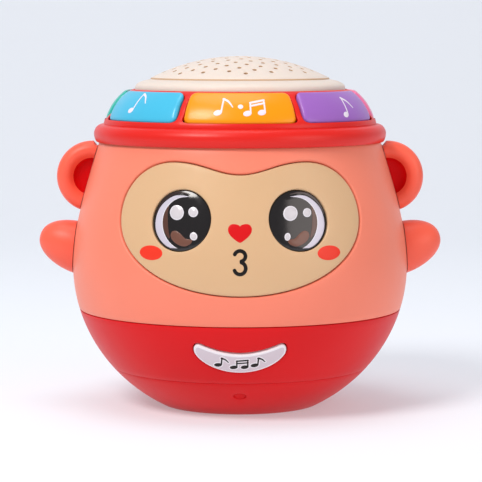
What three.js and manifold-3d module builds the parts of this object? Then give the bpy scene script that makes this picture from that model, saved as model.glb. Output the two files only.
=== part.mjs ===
// A round, monkey-faced toy drum with sound keys, built as the assembly of its separate pieces.
// Millimetres. +Z is up, the face looks along -Y, and the origin is the centre of the flat foot.
import * as THREE from "three";
import { mergeVertices } from "three/addons/utils/BufferGeometryUtils.js";
import Module from "manifold-3d";

const wasm = await Module();
wasm.setup();

// ---------------------------------------------------------------- driving dimensions

const GAP = 0.3; // between pieces that meet
const WALL = 2.4; // casing wall
const SEGMENTS = 32; // round the casing
const NECK_SEGMENTS = 30; // round the rim, the keys and the drum head
const INSIDE_SEGMENTS = 24; // round whatever is hidden

// The casing's outline: an elliptical bowl below the belly, a tapering dome above it.
const BELLY_RADIUS = 68.5;
const BELLY_Z = 57;
const BOWL_DROP = 64.6; // the bowl ellipse's half height, cut off flat at the foot
const NECK_RADIUS = 57.75;
const NECK_Z = 106.5;
const NECK_TAPER = 0.29; // radius lost per millimetre of height at the neck
const NECK_TOP = 108.2;

const BASE_SEAM_Z = 15.5; // base cover to lower shell
const SHELL_SEAM_Z = 39.3; // lower shell to the two upper shells

// The band that carries the seven keys is an arc in section.
const BAND_CENTRE = new THREE.Vector2(34.1, 111.1);
const KEY_ARC = 21.5; // the keys' outer face
const BAND_ARC = 20.3; // the band's outer face
const BAND_SKIN = 2;
const KEY_COUNT = 7;
const KEY_INNER = 45.8;
const KEY_OUTER = 54.9;
const KEY_HALF_ANGLE = THREE.MathUtils.degToRad(24);
const KEY_CORNER = 2.2;
const KEY_SLACK = 0.4; // round each key in its window
const KEY_STEM_RADIUS = 48.2; // how far from the axis a key presses
const KEY_LUG = 0.9; // how far a key's lugs reach under the band at each side
// Round from the front, by the right.
const KEY_NAMES = ["orange", "purple", "pink", "yellow", "green", "teal", "blue"];

// The drum head: a spherical cap on a sloping flange.
const DOME_TOP = 142.3;
const DOME_EDGE = 36.7;
const DOME_SPHERE = 79.4;
const HEAD_SKIRT = 42.9;
const HEAD_OPENING = 43.5;

// Inside the neck.
const DECK_Z = 101;
const DECK_TOP = 103.2;
const BOARD_THICKNESS = 1.6;
const KEY_BOARD_Z = DECK_TOP + GAP;
const KEY_PAD_Z = KEY_BOARD_Z + BOARD_THICKNESS + GAP;
const KEY_STEM_Z = 110.5;
const SPRING_CIRCLE = 33;
const SPRING_BOTTOM = 116;
const SPRING_TOP = 125.7;

// The face.
const EYE = { x: 22.9, z: 80.3, radius: 11.8, sunk: 0.8, thickness: 1.2 };

// Keys and switches on the bowl are laid out in a plane that touches it at this height.
const BOWL_CONTROL_Z = 25.9;

// The battery compartment at the back.
const CELL = { radius: 5.25, length: 44.5, y: 49.4, pitch: 11.2, middle: 73, count: 3 };
const DOOR = { halfWidth: 28.5, low: 46, high: 92, corner: 5 };
const DOOR_SCREW_Z = 50.5;

const BASE_SCREW_CIRCLE = 47;
const BASE_SCREW_ANGLES = [10, 90, 170]; // degrees from +X: none shows from the front
const SHELL_SCREWS = [
  { name: "upper_left", x: -50, z: 97 },
  { name: "upper_right", x: 50, z: 97 },
  { name: "lower_left", x: -54, z: 48.5 },
  { name: "lower_right", x: 54, z: 48.5 },
];

// ---------------------------------------------------------------- solids

function signedVolume(place, corners) {
  const [a, b, c] = [new THREE.Vector3(), new THREE.Vector3(), new THREE.Vector3()];
  let six = 0;
  for (let i = 0; i < corners.length; i += 3) {
    a.fromArray(place, 3 * corners[i]);
    b.fromArray(place, 3 * corners[i + 1]);
    c.fromArray(place, 3 * corners[i + 2]);
    six += a.dot(b.cross(c));
  }
  return six / 6;
}

// A closed geometry as a manifold-3d solid, with its faces pointing out.
function solidOf(geometry) {
  const bare = geometry.clone();
  bare.deleteAttribute("normal");
  bare.deleteAttribute("uv");
  const merged = mergeVertices(bare, 1e-4);
  const place = merged.getAttribute("position").array;
  const all = merged.index.array;
  const corners = [];
  for (let i = 0; i < all.length; i += 3) {
    const [a, b, c] = [all[i], all[i + 1], all[i + 2]];
    if (a !== b && b !== c && c !== a) corners.push(a, b, c);
  }
  if (signedVolume(place, corners) < 0) corners.reverse();
  const triVerts = new Uint32Array(corners);
  return new wasm.Manifold(new wasm.Mesh({ numProp: 3, vertProperties: place, triVerts }));
}

function geometryOf(solid) {
  const mesh = solid.getMesh();
  return new THREE.BufferGeometry()
    .setAttribute("position", new THREE.BufferAttribute(mesh.vertProperties, 3))
    .setIndex(new THREE.BufferAttribute(mesh.triVerts, 1));
}

const join = (...solids) => solids.reduce((whole, next) => whole.add(next));
const cut = (solid, ...tools) => tools.reduce((whole, tool) => whole.subtract(tool), solid);
const common = (a, b) => a.intersect(b);

// A profile of [radius, height] pairs spun about +Z. It starts and ends on the axis, or closes on itself.
function revolve(profile, segments = SEGMENTS) {
  const points = profile.map(([r, z]) => new THREE.Vector2(r, z));
  if (points[0].x > 0) points.push(points[0].clone());
  return solidOf(new THREE.LatheGeometry(points, segments).rotateX(Math.PI / 2));
}

function box(x, y, z) {
  const size = [x[1] - x[0], y[1] - y[0], z[1] - z[0]];
  const middle = [x[0] + size[0] / 2, y[0] + size[1] / 2, z[0] + size[2] / 2];
  return solidOf(new THREE.BoxGeometry(...size).translate(...middle));
}

const SPAN = 100; // past the object on every side
const slab = (z0, z1) => box([-SPAN, SPAN], [-SPAN, SPAN], [z0, z1]);

// A round rod from one point to another.
function rod(radius, from, to, segments = 16, endRadius = radius) {
  const [a, b] = [new THREE.Vector3(...from), new THREE.Vector3(...to)];
  const along = b.clone().sub(a);
  const geometry = new THREE.CylinderGeometry(endRadius, radius, along.length(), segments);
  const turn = new THREE.Quaternion().setFromUnitVectors(
    new THREE.Vector3(0, 1, 0),
    along.normalize(),
  );
  geometry.applyQuaternion(turn);
  return solidOf(geometry.translate(...a.add(b).multiplyScalar(0.5)));
}

// A shape drawn in x and y, extruded along +Z between two heights, then put where a matrix says.
function prism(shape, z0, z1, matrix = new THREE.Matrix4(), curveSegments = 6) {
  const settings = { depth: z1 - z0, bevelEnabled: false, curveSegments };
  const geometry = new THREE.ExtrudeGeometry(shape, settings).translate(0, 0, z0);
  return solidOf(geometry.applyMatrix4(matrix));
}

function roundedRectangle(x0, x1, y0, y1, corner) {
  const shape = new THREE.Shape();
  shape.moveTo(x0 + corner, y0);
  shape.lineTo(x1 - corner, y0);
  shape.absarc(x1 - corner, y0 + corner, corner, -Math.PI / 2, 0, false);
  shape.lineTo(x1, y1 - corner);
  shape.absarc(x1 - corner, y1 - corner, corner, 0, Math.PI / 2, false);
  shape.lineTo(x0 + corner, y1);
  shape.absarc(x0 + corner, y1 - corner, corner, Math.PI / 2, Math.PI, false);
  shape.lineTo(x0, y0 + corner);
  shape.absarc(x0 + corner, y0 + corner, corner, Math.PI, 1.5 * Math.PI, false);
  return shape;
}

// A shape grown outwards along its own normals.
function grown(shape, by, curveSegments) {
  let points = shape.getPoints(curveSegments);
  if (points[0].distanceTo(points.at(-1)) < 1e-6) points = points.slice(0, -1);
  if (THREE.ShapeUtils.area(points) < 0) points.reverse();
  const count = points.length;
  const out = points.map((point, i) => {
    const along = points[(i + 1) % count].clone().sub(points[(i - 1 + count) % count]);
    const outward = new THREE.Vector2(along.y, -along.x).normalize();
    return point.clone().addScaledVector(outward, by);
  });
  return new THREE.Shape(out);
}

// ---------------------------------------------------------------- the casing's outline

function bodyRadius(z) {
  if (z <= BELLY_Z) return BELLY_RADIUS * Math.sqrt(1 - ((BELLY_Z - z) / BOWL_DROP) ** 2);
  const rise = NECK_Z - BELLY_Z;
  const u = (z - BELLY_Z) / rise;
  const fromBelly = 2 * u ** 3 - 3 * u ** 2 + 1;
  const neckSlope = -NECK_TAPER * rise * (u ** 3 - u ** 2);
  return BELLY_RADIUS * fromBelly + NECK_RADIUS * (1 - fromBelly) + neckSlope;
}

function bodySlope(z) {
  const step = 0.01;
  return (bodyRadius(z + step) - bodyRadius(z - step)) / (2 * step);
}

function bodyLevels(bowlRows, domeRows) {
  const footAngle = Math.asin(BELLY_Z / BOWL_DROP);
  const levels = [];
  for (let i = 0; i < bowlRows; i++) {
    levels.push(BELLY_Z - BOWL_DROP * Math.sin(footAngle * (1 - i / bowlRows)));
  }
  for (let i = 0; i <= domeRows; i++) {
    levels.push(BELLY_Z + ((NECK_TOP - BELLY_Z) * i) / domeRows);
  }
  return levels;
}

// Everything inside the casing's outline, drawn in by an inset. The casing's inner face is the coarser one.
function bodyInset(inset) {
  const hidden = inset >= WALL;
  const wall = (hidden ? bodyLevels(3, 2) : bodyLevels(5, 4)).map((z) => {
    const slope = bodySlope(z);
    const unit = 1 / Math.hypot(1, slope);
    return [bodyRadius(z) - inset * unit, Math.max(z + inset * slope * unit, inset)];
  });
  const top = hidden ? NECK_TOP + 1 : wall.at(-1)[1]; // the casing is open at the neck
  const lid = [[wall.at(-1)[0], top], [0, top]];
  return revolve([[0, inset], ...wall, ...lid], hidden ? INSIDE_SEGMENTS : SEGMENTS);
}

const outline = bodyInset(0);
const cavity = bodyInset(WALL);
const insideWall = bodyInset(WALL + GAP);
const outsideWall = bodyInset(-GAP);
const casing = cut(outline, cavity);

// ---------------------------------------------------------------- the face

const faceCurve = new THREE.Shape();
faceCurve.moveTo(0, 97.6);
faceCurve.bezierCurveTo(9, 97.6, 14.5, 102.2, 25.3, 102.2);
faceCurve.bezierCurveTo(37.5, 102.2, 46.7, 91.5, 46.7, 78.9);
faceCurve.bezierCurveTo(46.7, 62.5, 26, 51.5, 0, 51.5);
faceCurve.bezierCurveTo(-26, 51.5, -46.7, 62.5, -46.7, 78.9);
faceCurve.bezierCurveTo(-46.7, 91.5, -37.5, 102.2, -25.3, 102.2);
faceCurve.bezierCurveTo(-14.5, 102.2, -9, 97.6, 0, 97.6);

// Turns a shape's x and y into the part's X and Z, and its depth towards the front.
const toFront = new THREE.Matrix4().makeRotationX(Math.PI / 2);
const frontPrism = (by) => prism(grown(faceCurve, by, 4), 30, 80, toFront);

// The point of the casing straight behind x and z on the front, and the way out of it there.
function frontPoint(x, z) {
  const radius = bodyRadius(z);
  const y = -Math.sqrt(radius ** 2 - x ** 2);
  const out = new THREE.Vector3(x / radius, y / radius, -bodySlope(z)).normalize();
  return { at: new THREE.Vector3(x, y, z), out };
}

function eyeRod(side, radius) {
  const { at, out } = frontPoint(side * EYE.x, EYE.z);
  const start = at.clone().addScaledVector(out, -8);
  return rod(radius, start.toArray(), at.addScaledVector(out, 4).toArray(), 24);
}

function facePlate() {
  const front = common(outline, frontPrism(0));
  const flange = cut(common(bodyInset(WALL + GAP), frontPrism(2)), slab(DECK_Z - GAP, SPAN * 2));
  const socketFloor = bodyInset(EYE.sunk + EYE.thickness + GAP);
  const sockets = [-1, 1].map((side) => cut(eyeRod(side, EYE.radius + GAP), socketFloor));
  return cut(join(front, flange), bodyInset(WALL + GAP + 1.3), ...sockets);
}

const eye = (side) =>
  cut(common(eyeRod(side, EYE.radius), bodyInset(EYE.sunk)), bodyInset(EYE.sunk + EYE.thickness));

// ---------------------------------------------------------------- ears and arms

const EAR = { x: 60.6, y: 2.5, z: 93.1 };
const ARM = { x: 66.5, y: 1.5, z: 63.8, reach: 16.5, thickness: 10, height: 11, lift: 20 };
const TANG = { earZ: 92.5, armZ: 62.5, radius: 3.5, flange: 5.5, inset: 5.5 };

// The pin that holds an ear or arm: it passes the wall on the shells' split and ends in a flange.
function tang(side, z, grow) {
  const wallX = bodyRadius(z);
  const point = (x) => [side * x, 0, z];
  const flangeX = wallX - TANG.inset;
  const pin = rod(TANG.radius + grow, point(flangeX - 1), point(wallX + 2), 10);
  const flange = rod(TANG.flange, point(flangeX - 1.6), point(flangeX), 10);
  return { pin, flange };
}

const underLip = revolve([[0, 106], [59, 106], [60.4, 108.2], [60.4, 112], [0, 112]], NECK_SEGMENTS);

function onCasing(solid, side, z) {
  const { pin, flange } = tang(side, z, 0);
  return join(cut(solid, outsideWall, underLip), pin, flange);
}

function ear(side) {
  const dish = [
    [0, -3.6], [11.6, -3.2], [13.9, -1.6], [14.6, 0.6],
    [13.9, 3.4], [11.6, 5], [9, 4.5], [7.4, 2.4], [6.4, 1.2], [0, 0.8],
  ];
  const lathe = new THREE.LatheGeometry(dish.map(([r, h]) => new THREE.Vector2(r, h)), 24);
  const geometry = lathe.rotateX(Math.PI).translate(side * EAR.x, EAR.y, EAR.z);
  return onCasing(solidOf(geometry), side, TANG.earZ);
}

function arm(side) {
  const geometry = new THREE.SphereGeometry(1, 16, 10);
  geometry.scale(ARM.reach, ARM.thickness, ARM.height);
  geometry.rotateY(-side * THREE.MathUtils.degToRad(ARM.lift));
  return onCasing(solidOf(geometry.translate(side * ARM.x, ARM.y, ARM.z)), side, TANG.armZ);
}

const tangHoles = [-1, 1].flatMap((side) =>
  [TANG.earZ, TANG.armZ].map((z) => tang(side, z, GAP).pin),
);

// ---------------------------------------------------------------- upper shells

const SHELL_BOSS = { radius: 3.8, bore: 1.25, seat: 4 };
const SCREW = { headRadius: 2.3, head: 1.7, shankRadius: 0.95 };

// Both halves of the coral casing, with the ledge the deck rests on.
const upperShell = () => {
  const wall = common(casing, slab(SHELL_SEAM_Z + GAP / 2, SPAN * 2));
  const shelf = [[51.5, 98.4], [64, 98.4], [64, DECK_Z - GAP], [51.5, DECK_Z - GAP]];
  const ledge = revolve(shelf, INSIDE_SEGMENTS);
  return join(wall, common(ledge, bodyInset(WALL / 2)));
};

function frontShell() {
  const half = common(upperShell(), box([-SPAN, SPAN], [-SPAN, -GAP / 2], [0, 2 * SPAN]));
  const bosses = SHELL_SCREWS.map(({ x, z }) => {
    const post = rod(SHELL_BOSS.radius, [x, -GAP / 2, z], [x, -SPAN, z], 8);
    return common(post, bodyInset(1));
  });
  const bores = SHELL_SCREWS.map(({ x, z }) => rod(SHELL_BOSS.bore, [x, 1, z], [x, -9, z], 8));
  const behindFace = common(cavity, frontPrism(2.4));
  return cut(join(half, ...bosses), frontPrism(0.35), behindFace, ...bores, ...tangHoles);
}

function rearShell() {
  const half = common(upperShell(), box([-SPAN, SPAN], [GAP / 2, SPAN], [0, 2 * SPAN]));
  const tubes = SHELL_SCREWS.map(({ x, z }) => {
    const post = rod(SHELL_BOSS.radius, [x, GAP / 2, z], [x, SPAN, z], 8);
    return common(post, bodyInset(0.2));
  });
  const wells = SHELL_SCREWS.flatMap(({ x, z }) => [
    rod(SCREW.headRadius + 0.5, [x, SHELL_BOSS.seat, z], [x, SPAN, z], 8),
    rod(SHELL_BOSS.bore, [x, -1, z], [x, SPAN, z], 8),
  ]);
  return cut(join(half, ...tubes), doorPrism(0.4), ...wells, ...tangHoles);
}

// A screw that stands on its head's seat and points up.
function screw(length) {
  const shank = rod(SCREW.shankRadius, [0, 0, -0.8], [0, 0, length], 6);
  const cap = rod(SCREW.headRadius * 0.8, [0, 0, -SCREW.head], [0, 0, 0], 10, SCREW.headRadius);
  const socket = rod(0.8, [0, 0, -SCREW.head - 1], [0, 0, -SCREW.head + 0.7], 4);
  return cut(join(cap, shank), socket);
}

// ---------------------------------------------------------------- battery compartment and door

// Turns a shape's x and y into the part's X and Z, and its depth towards the back.
const toBack = new THREE.Matrix4().makeBasis(
  new THREE.Vector3(1, 0, 0),
  new THREE.Vector3(0, 0, 1),
  new THREE.Vector3(0, 1, 0),
);
function doorPrism(by) {
  const { halfWidth, low, high, corner } = DOOR;
  const shape = roundedRectangle(-halfWidth - by, halfWidth + by, low - by, high + by, corner + by);
  return prism(shape, 30, 80, toBack);
}

const doorScrewSeat = bodyRadius(DOOR_SCREW_Z) - 2.1;
const DOOR_BOSS = { radius: 4.2, depth: 2.2 }; // round the screw, inwards from its seat
const TAB = { x: 14, halfWidth: 4, low: 88.5, high: 94.4 };

function batteryDoor() {
  const panel = common(casing, doorPrism(0));
  const tabs = [-1, 1].map((side) => {
    const x = [side * TAB.x - TAB.halfWidth, side * TAB.x + TAB.halfWidth];
    const shelf = cut(bodyInset(WALL + GAP), bodyInset(WALL + GAP + 1.3));
    const hook = common(shelf, box(x, [0, SPAN], [TAB.low, TAB.high]));
    const joint = cut(bodyInset(WALL - 0.5), bodyInset(WALL + GAP + 0.5));
    const root = common(joint, box(x, [0, SPAN], [TAB.low, DOOR.high - 0.6]));
    return join(hook, root);
  });
  const along = (from, to) => [[0, from, DOOR_SCREW_Z], [0, to, DOOR_SCREW_Z]];
  const bossEnds = along(doorScrewSeat - DOOR_BOSS.depth, doorScrewSeat + 0.5);
  const boss = rod(DOOR_BOSS.radius, ...bossEnds, 12);
  const bore = rod(1.5, ...along(40, SPAN), 10);
  const well = rod(SCREW.headRadius + GAP, ...along(doorScrewSeat, SPAN), 16);
  return cut(join(panel, boss, ...tabs), bore, well);
}

function batteryTray() {
  const half = CELL.length / 2 + 4.2;
  const low = CELL.middle - CELL.pitch * 1.5 - 0.6;
  const high = CELL.middle + CELL.pitch * 1.5 + 0.6;
  const back = CELL.y - CELL.radius - 0.5;
  const wall = 1.6;
  const hull = box([-half - wall, half + wall], [back - wall, SPAN], [low - wall, high + wall]);
  const lug = box([-5, 5], [back - wall, SPAN], [DOOR_SCREW_Z - 4.5, low]);
  const room = box([-half, half], [back, SPAN], [low, high]);
  const ribs = [1, 2].map((i) => {
    const z = low + 0.6 + CELL.pitch * i;
    return box([-half + 6, half - 6], [back - 0.5, back + 2.4], [z - 0.35, z + 0.35]);
  });
  const along = (from, to) => [[0, from, DOOR_SCREW_Z], [0, to, DOOR_SCREW_Z]];
  const bore = rod(1.5, ...along(doorScrewSeat - 10, SPAN), 10);
  const bossRoom = along(doorScrewSeat - DOOR_BOSS.depth - GAP, SPAN);
  const aroundBoss = rod(DOOR_BOSS.radius + 0.8, ...bossRoom, 12);
  const behindTabs = box([-20, 20], [CELL.y + 3, SPAN], [high, SPAN]);
  const body = cut(join(cut(join(hull, lug), room), ...ribs), bore, aroundBoss, behindTabs);
  return common(body, insideWall);
}

const cellZ = (i) => CELL.middle + (i - 1) * CELL.pitch;

// A cell's case with its positive nub, standing upright.
function cell() {
  const half = CELL.length / 2;
  const can = rod(CELL.radius, [0, 0, -half], [0, 0, half - 0.9], 16);
  return join(can, rod(1.9, [0, 0, half - 1], [0, 0, half], 8));
}

// The contact strip at one end of the cells, with a sprung bump for each cell.
function contact(side) {
  const x = (inward) => side * (CELL.length / 2 + 3.6 - inward);
  const strip = box(
    [Math.min(x(0), x(0.4)), Math.max(x(0), x(0.4))],
    [CELL.y - 4, CELL.y + 4],
    [cellZ(0) - 3.6, cellZ(CELL.count - 1) + 3.6],
  );
  const bumps = [...Array(CELL.count).keys()].map((i) =>
    rod(3.2, [x(0.2), CELL.y, cellZ(i)], [x(3.2), CELL.y, cellZ(i)], 8, 1.6),
  );
  return join(strip, ...bumps);
}

// ---------------------------------------------------------------- base cover and lower shell

const onCircle = (radius, degrees, z) => {
  const angle = THREE.MathUtils.degToRad(degrees);
  return [radius * Math.cos(angle), radius * Math.sin(angle), z];
};
const standing = (radius, circle, degrees, z0, z1, segments = 8) =>
  rod(radius, onCircle(circle, degrees, z0), onCircle(circle, degrees, z1), segments);

const BASE_SEAT_Z = 14;
const MAIN_BOARD = { x: 26, y: 18, z: 12 };

function baseCover() {
  const shell = common(casing, slab(-1, BASE_SEAM_Z - GAP / 2));
  const lip = revolve([[46.9, 13.5], [48.4, 13.5], [48.4, 18.3], [46.9, 18.3]], INSIDE_SEGMENTS);
  const columns = BASE_SCREW_ANGLES.map((angle) =>
    common(standing(4, BASE_SCREW_CIRCLE, angle, 2, BASE_SEAM_Z - GAP / 2), outline),
  );
  const clearance = BASE_SCREW_ANGLES.flatMap((angle) => [
    standing(4.4, BASE_SCREW_CIRCLE, angle, BASE_SEAM_Z - GAP / 2, 20),
    standing(2.8, BASE_SCREW_CIRCLE, angle, -1, BASE_SEAT_Z),
    standing(1.3, BASE_SCREW_CIRCLE, angle, 2, 20),
  ]);
  const posts = [-1, 1].flatMap((sx) =>
    [-1, 1].map((sy) => {
      const [x, y] = [sx * (MAIN_BOARD.x - 4), sy * (MAIN_BOARD.y - 4)];
      return box([x - 2, x + 2], [y - 2, y + 2], [2, MAIN_BOARD.z - GAP]);
    }),
  );
  const sole = revolve([[0, -1], [24, -1], [23.4, 0.6], [0, 0.6]], INSIDE_SEGMENTS);
  return cut(join(shell, lip, ...columns, ...posts), sole, ...clearance);
}

// A frame that touches the bowl: x across, y up its slope, z out of it.
function bowlFrame(side) {
  const radius = bodyRadius(BOWL_CONTROL_Z);
  const tilt = Math.atan(bodySlope(BOWL_CONTROL_Z));
  const out = new THREE.Vector3(0, side * Math.cos(tilt), -Math.sin(tilt));
  const up = new THREE.Vector3(0, side * Math.sin(tilt), Math.cos(tilt));
  const across = up.clone().cross(out);
  return new THREE.Matrix4()
    .makeBasis(across, up, out)
    .setPosition(0, side * radius, BOWL_CONTROL_Z);
}
const frontBowl = bowlFrame(-1);
const rearBowl = bowlFrame(1);

// The smile-shaped key: a sagging top edge, a deeper bottom arc and round ends.
function smile(by) {
  const shape = new THREE.Shape();
  shape.moveTo(-15.3, 5.9);
  shape.bezierCurveTo(-9, 3.6, -4, 2.9, 0, 2.9);
  shape.bezierCurveTo(4, 2.9, 9, 3.6, 15.3, 5.9);
  shape.bezierCurveTo(17.6, 6.6, 18.6, 4.1, 17.4, 1.6);
  shape.bezierCurveTo(14.6, -3.2, 7, -6.2, 0, -6.2);
  shape.bezierCurveTo(-7, -6.2, -14.6, -3.2, -17.4, 1.6);
  shape.bezierCurveTo(-18.6, 4.1, -17.6, 6.6, -15.3, 5.9);
  return grown(shape, by, 4);
}

const SWITCH_SLOT = { halfX: 6, halfY: 2.7 };
const MUSIC = { proud: 0.5, flangeInset: WALL + GAP, padTop: -6.6, boardTop: -11.2 };

function lowerShell() {
  const wall = common(casing, slab(BASE_SEAM_Z + GAP / 2, SHELL_SEAM_Z - GAP / 2));
  const lip = revolve([[61.2, 35], [62.7, 35], [62.7, 42.5], [61.2, 42.5]], INSIDE_SEGMENTS);
  const bosses = BASE_SCREW_ANGLES.map((angle) =>
    common(standing(3.2, BASE_SCREW_CIRCLE, angle, BASE_SEAM_Z + GAP / 2, 24), outline),
  );
  const bores = BASE_SCREW_ANGLES.map((angle) =>
    standing(1.3, BASE_SCREW_CIRCLE, angle, 10, 22.5),
  );
  const boardPosts = [-1, 1].map((side) => {
    const post = new THREE.Shape().absarc(0, 10.2 * side, 2.2, 0, 2 * Math.PI);
    return common(prism(post, MUSIC.boardTop + GAP, -1, frontBowl, 3), outline);
  });
  const slot = SWITCH_SLOT;
  const switchWindow = roundedRectangle(-slot.halfX, slot.halfX, -slot.halfY, slot.halfY, 1.6);
  return cut(
    join(wall, lip, ...bosses, ...boardPosts),
    prism(smile(0.35), -6, 6, frontBowl),
    prism(switchWindow, -6, 6, rearBowl, 2),
    ...bores,
  );
}

function musicKey() {
  const inside = bodyInset(MUSIC.flangeInset + 1.2);
  const face = common(prism(smile(0), -12, 6, frontBowl), bodyInset(-MUSIC.proud));
  const flange = common(prism(smile(1.3), -12, 6, frontBowl), bodyInset(MUSIC.flangeInset));
  const stemShape = new THREE.Shape().absarc(0, 0, 2.4, 0, 2 * Math.PI);
  const stem = prism(stemShape, MUSIC.padTop + GAP, -1, frontBowl, 8);
  return join(cut(join(face, flange), inside), stem);
}

// ---------------------------------------------------------------- key pads, boards and small parts

// A silicone pad that folds under its key and springs it back.
const pad = (height) =>
  revolve([[0, 0], [3.6, 0], [3.6, 0.8], [2.8, 1.4], [2.2, height], [0, height]], 10);

const musicPadHeight = MUSIC.padTop - MUSIC.boardTop - GAP;

const musicBoard = () => {
  const shape = roundedRectangle(-9, 9, -12.6, 12.6, 1);
  return prism(shape, MUSIC.boardTop - BOARD_THICKNESS, MUSIC.boardTop, frontBowl, 1);
};

const mainBoard = () => {
  const { x, y, z } = MAIN_BOARD;
  return prism(roundedRectangle(-x, x, -y, y, 2), z, z + BOARD_THICKNESS, undefined, 3);
};
const chipZ = MAIN_BOARD.z + BOARD_THICKNESS + GAP;
const soundChip = () => box([-9, 5], [-5, 5], [chipZ, chipZ + 2.2]);

// The volume switch slides across the back of the bowl, off to loud.
const SWITCH = { travel: 6, bodyTop: -WALL - 4.2 };
const switchBody = () => {
  const shape = roundedRectangle(-9.5, 9.5, -4.2, 4.2, 0.8);
  return prism(shape, SWITCH.bodyTop - 4.5, SWITCH.bodyTop, rearBowl, 2);
};

function switchKnob() {
  const x = -SWITCH.travel / 2;
  const plateShape = roundedRectangle(x - 5, x + 5, -3.6, 3.6, 0.6);
  const plate = prism(plateShape, SWITCH.bodyTop + GAP, SWITCH.bodyTop + 1.4, rearBowl, 1);
  const gripShape = roundedRectangle(x - 2.4, x + 2.4, -2.2, 2.2, 0.8);
  const grip = prism(gripShape, SWITCH.bodyTop + 1.2, 0.9, rearBowl, 2);
  const grooves = [-1, 0, 1].map((i) => {
    const middle = x + 1.4 * i;
    return prism(roundedRectangle(middle - 0.25, middle + 0.25, -3, 3, 0.1), 0.5, 2, rearBowl, 1);
  });
  return cut(join(plate, grip), ...grooves);
}

// ---------------------------------------------------------------- the key band

// Points on an arc about the band's centre, from one radius outwards and down to a height.
function bandArc(arc, fromRadius, toZ, count) {
  const start = Math.acos((fromRadius - BAND_CENTRE.x) / arc);
  const end = Math.asin((toZ - BAND_CENTRE.y) / arc);
  return [...Array(count + 1).keys()].map((i) => {
    const angle = start + ((end - start) * i) / count;
    return [BAND_CENTRE.x + arc * Math.cos(angle), BAND_CENTRE.y + arc * Math.sin(angle)];
  });
}

// A sector of a ring with round corners, in plan, about the -Y direction turned by an angle.
function sector(inner, outer, halfAngle, corner) {
  const at = (r, a) => new THREE.Vector2(r * Math.sin(a), -r * Math.cos(a));
  const points = [];
  const bend = (r0, a0, rc, ac, r1, a1) => {
    const curve = new THREE.QuadraticBezierCurve(at(r0, a0), at(rc, ac), at(r1, a1));
    points.push(...curve.getPoints(2));
  };
  const sweep = (r, from, to) => {
    for (let i = 1; i < 4; i++) points.push(at(r, from + ((to - from) * i) / 4));
  };
  const [ci, co, h] = [corner / inner, corner / outer, halfAngle];
  bend(outer - corner, -h, outer, -h, outer, -h + co);
  sweep(outer, -h + co, h - co);
  bend(outer, h - co, outer, h, outer - corner, h);
  bend(inner + corner, h, inner, h, inner, h - ci);
  sweep(inner, h - ci, -h + ci);
  bend(inner, -h + ci, inner, -h, inner + corner, -h);
  return new THREE.Shape(points);
}

const keyAngle = (i) => (i * 2 * Math.PI) / KEY_COUNT;
const keyTurn = (i) => new THREE.Matrix4().makeRotationZ(keyAngle(i));

const WINDOW_LEDGE_Z = 111.8;

function rimRing() {
  const skinTop = bandArc(BAND_ARC, HEAD_OPENING + 0.6, 115.8, 3);
  const lip = [
    [55.8, 116], [56.5, 114.8], [57.4, 114.5], [58.8, 113.3],
    [59.6, 111], [59.3, 109], [58.6, 107.4], [58.2, 108.6],
  ];
  const skirt = [[54, 108.6], [54, 103.6], [52.6, 103.6], [52.6, WINDOW_LEDGE_Z]];
  const skinUnder = bandArc(BAND_ARC - BAND_SKIN, 45.1, 113, 2).reverse();
  const guide = [[45.1, 124.8], [HEAD_OPENING, 124.8], [HEAD_OPENING, 128.6]];
  const ring = revolve([...skinTop, ...lip, ...skirt, ...skinUnder, ...guide], NECK_SEGMENTS);
  const shape = sector(
    KEY_INNER - KEY_SLACK,
    KEY_OUTER + KEY_SLACK,
    KEY_HALF_ANGLE + KEY_SLACK / KEY_STEM_RADIUS,
    KEY_CORNER,
  );
  const windows = [...Array(KEY_COUNT).keys()].map((i) =>
    prism(shape, WINDOW_LEDGE_Z, 140, keyTurn(i)),
  );
  return cut(ring, ...windows);
}

// Everything under an arc of the band, down to a height.
const underArc = (arc, z, rows = 3) => revolve([[36, z], ...bandArc(arc, 36, z, rows)], NECK_SEGMENTS);

// The key at the front. Its sides run straight down through the window, its lugs keep it from lifting
// out, and its stem presses the pad below.
function key() {
  const floor = WINDOW_LEDGE_Z + 1.7; // clear of the ledge when pressed
  const cap = cut(underArc(KEY_ARC, floor, 4), underArc(KEY_ARC - 4.5, floor));
  const body = common(cap, prism(sector(KEY_INNER, KEY_OUTER, KEY_HALF_ANGLE, KEY_CORNER), 100, 140));
  const hollowShape = sector(KEY_INNER + 1.8, KEY_OUTER - 1.8, KEY_HALF_ANGLE - 2 / KEY_STEM_RADIUS, 0.8);
  const hollow = common(underArc(KEY_ARC - 2, floor - 1), prism(hollowShape, 100, 140));
  const lugShape = sector(49.2, 50.9, KEY_HALF_ANGLE + KEY_LUG / KEY_STEM_RADIUS, 0.4);
  const lugs = cut(prism(lugShape, floor, floor + 1.8), prism(hollowShape, 100, 140));
  const stem = rod(2.2, [0, -KEY_STEM_RADIUS, KEY_STEM_Z], [0, -KEY_STEM_RADIUS, 124], 8);
  return join(cut(body, hollow), lugs, common(stem, underArc(KEY_ARC - 1, KEY_STEM_Z)));
}

// ---------------------------------------------------------------- drum head, deck and speaker

function domeArc(sphere, edge, count) {
  const centre = DOME_TOP - DOME_SPHERE;
  return [...Array(count + 1).keys()].map((i) => {
    const r = (edge * i) / count;
    return [r, centre + Math.sqrt(sphere ** 2 - r ** 2)];
  });
}

const springAngles = [90, 210, 330];
const DRUM_SWITCH_ANGLE = 30;
const lampAngles = [150, 270];

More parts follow.
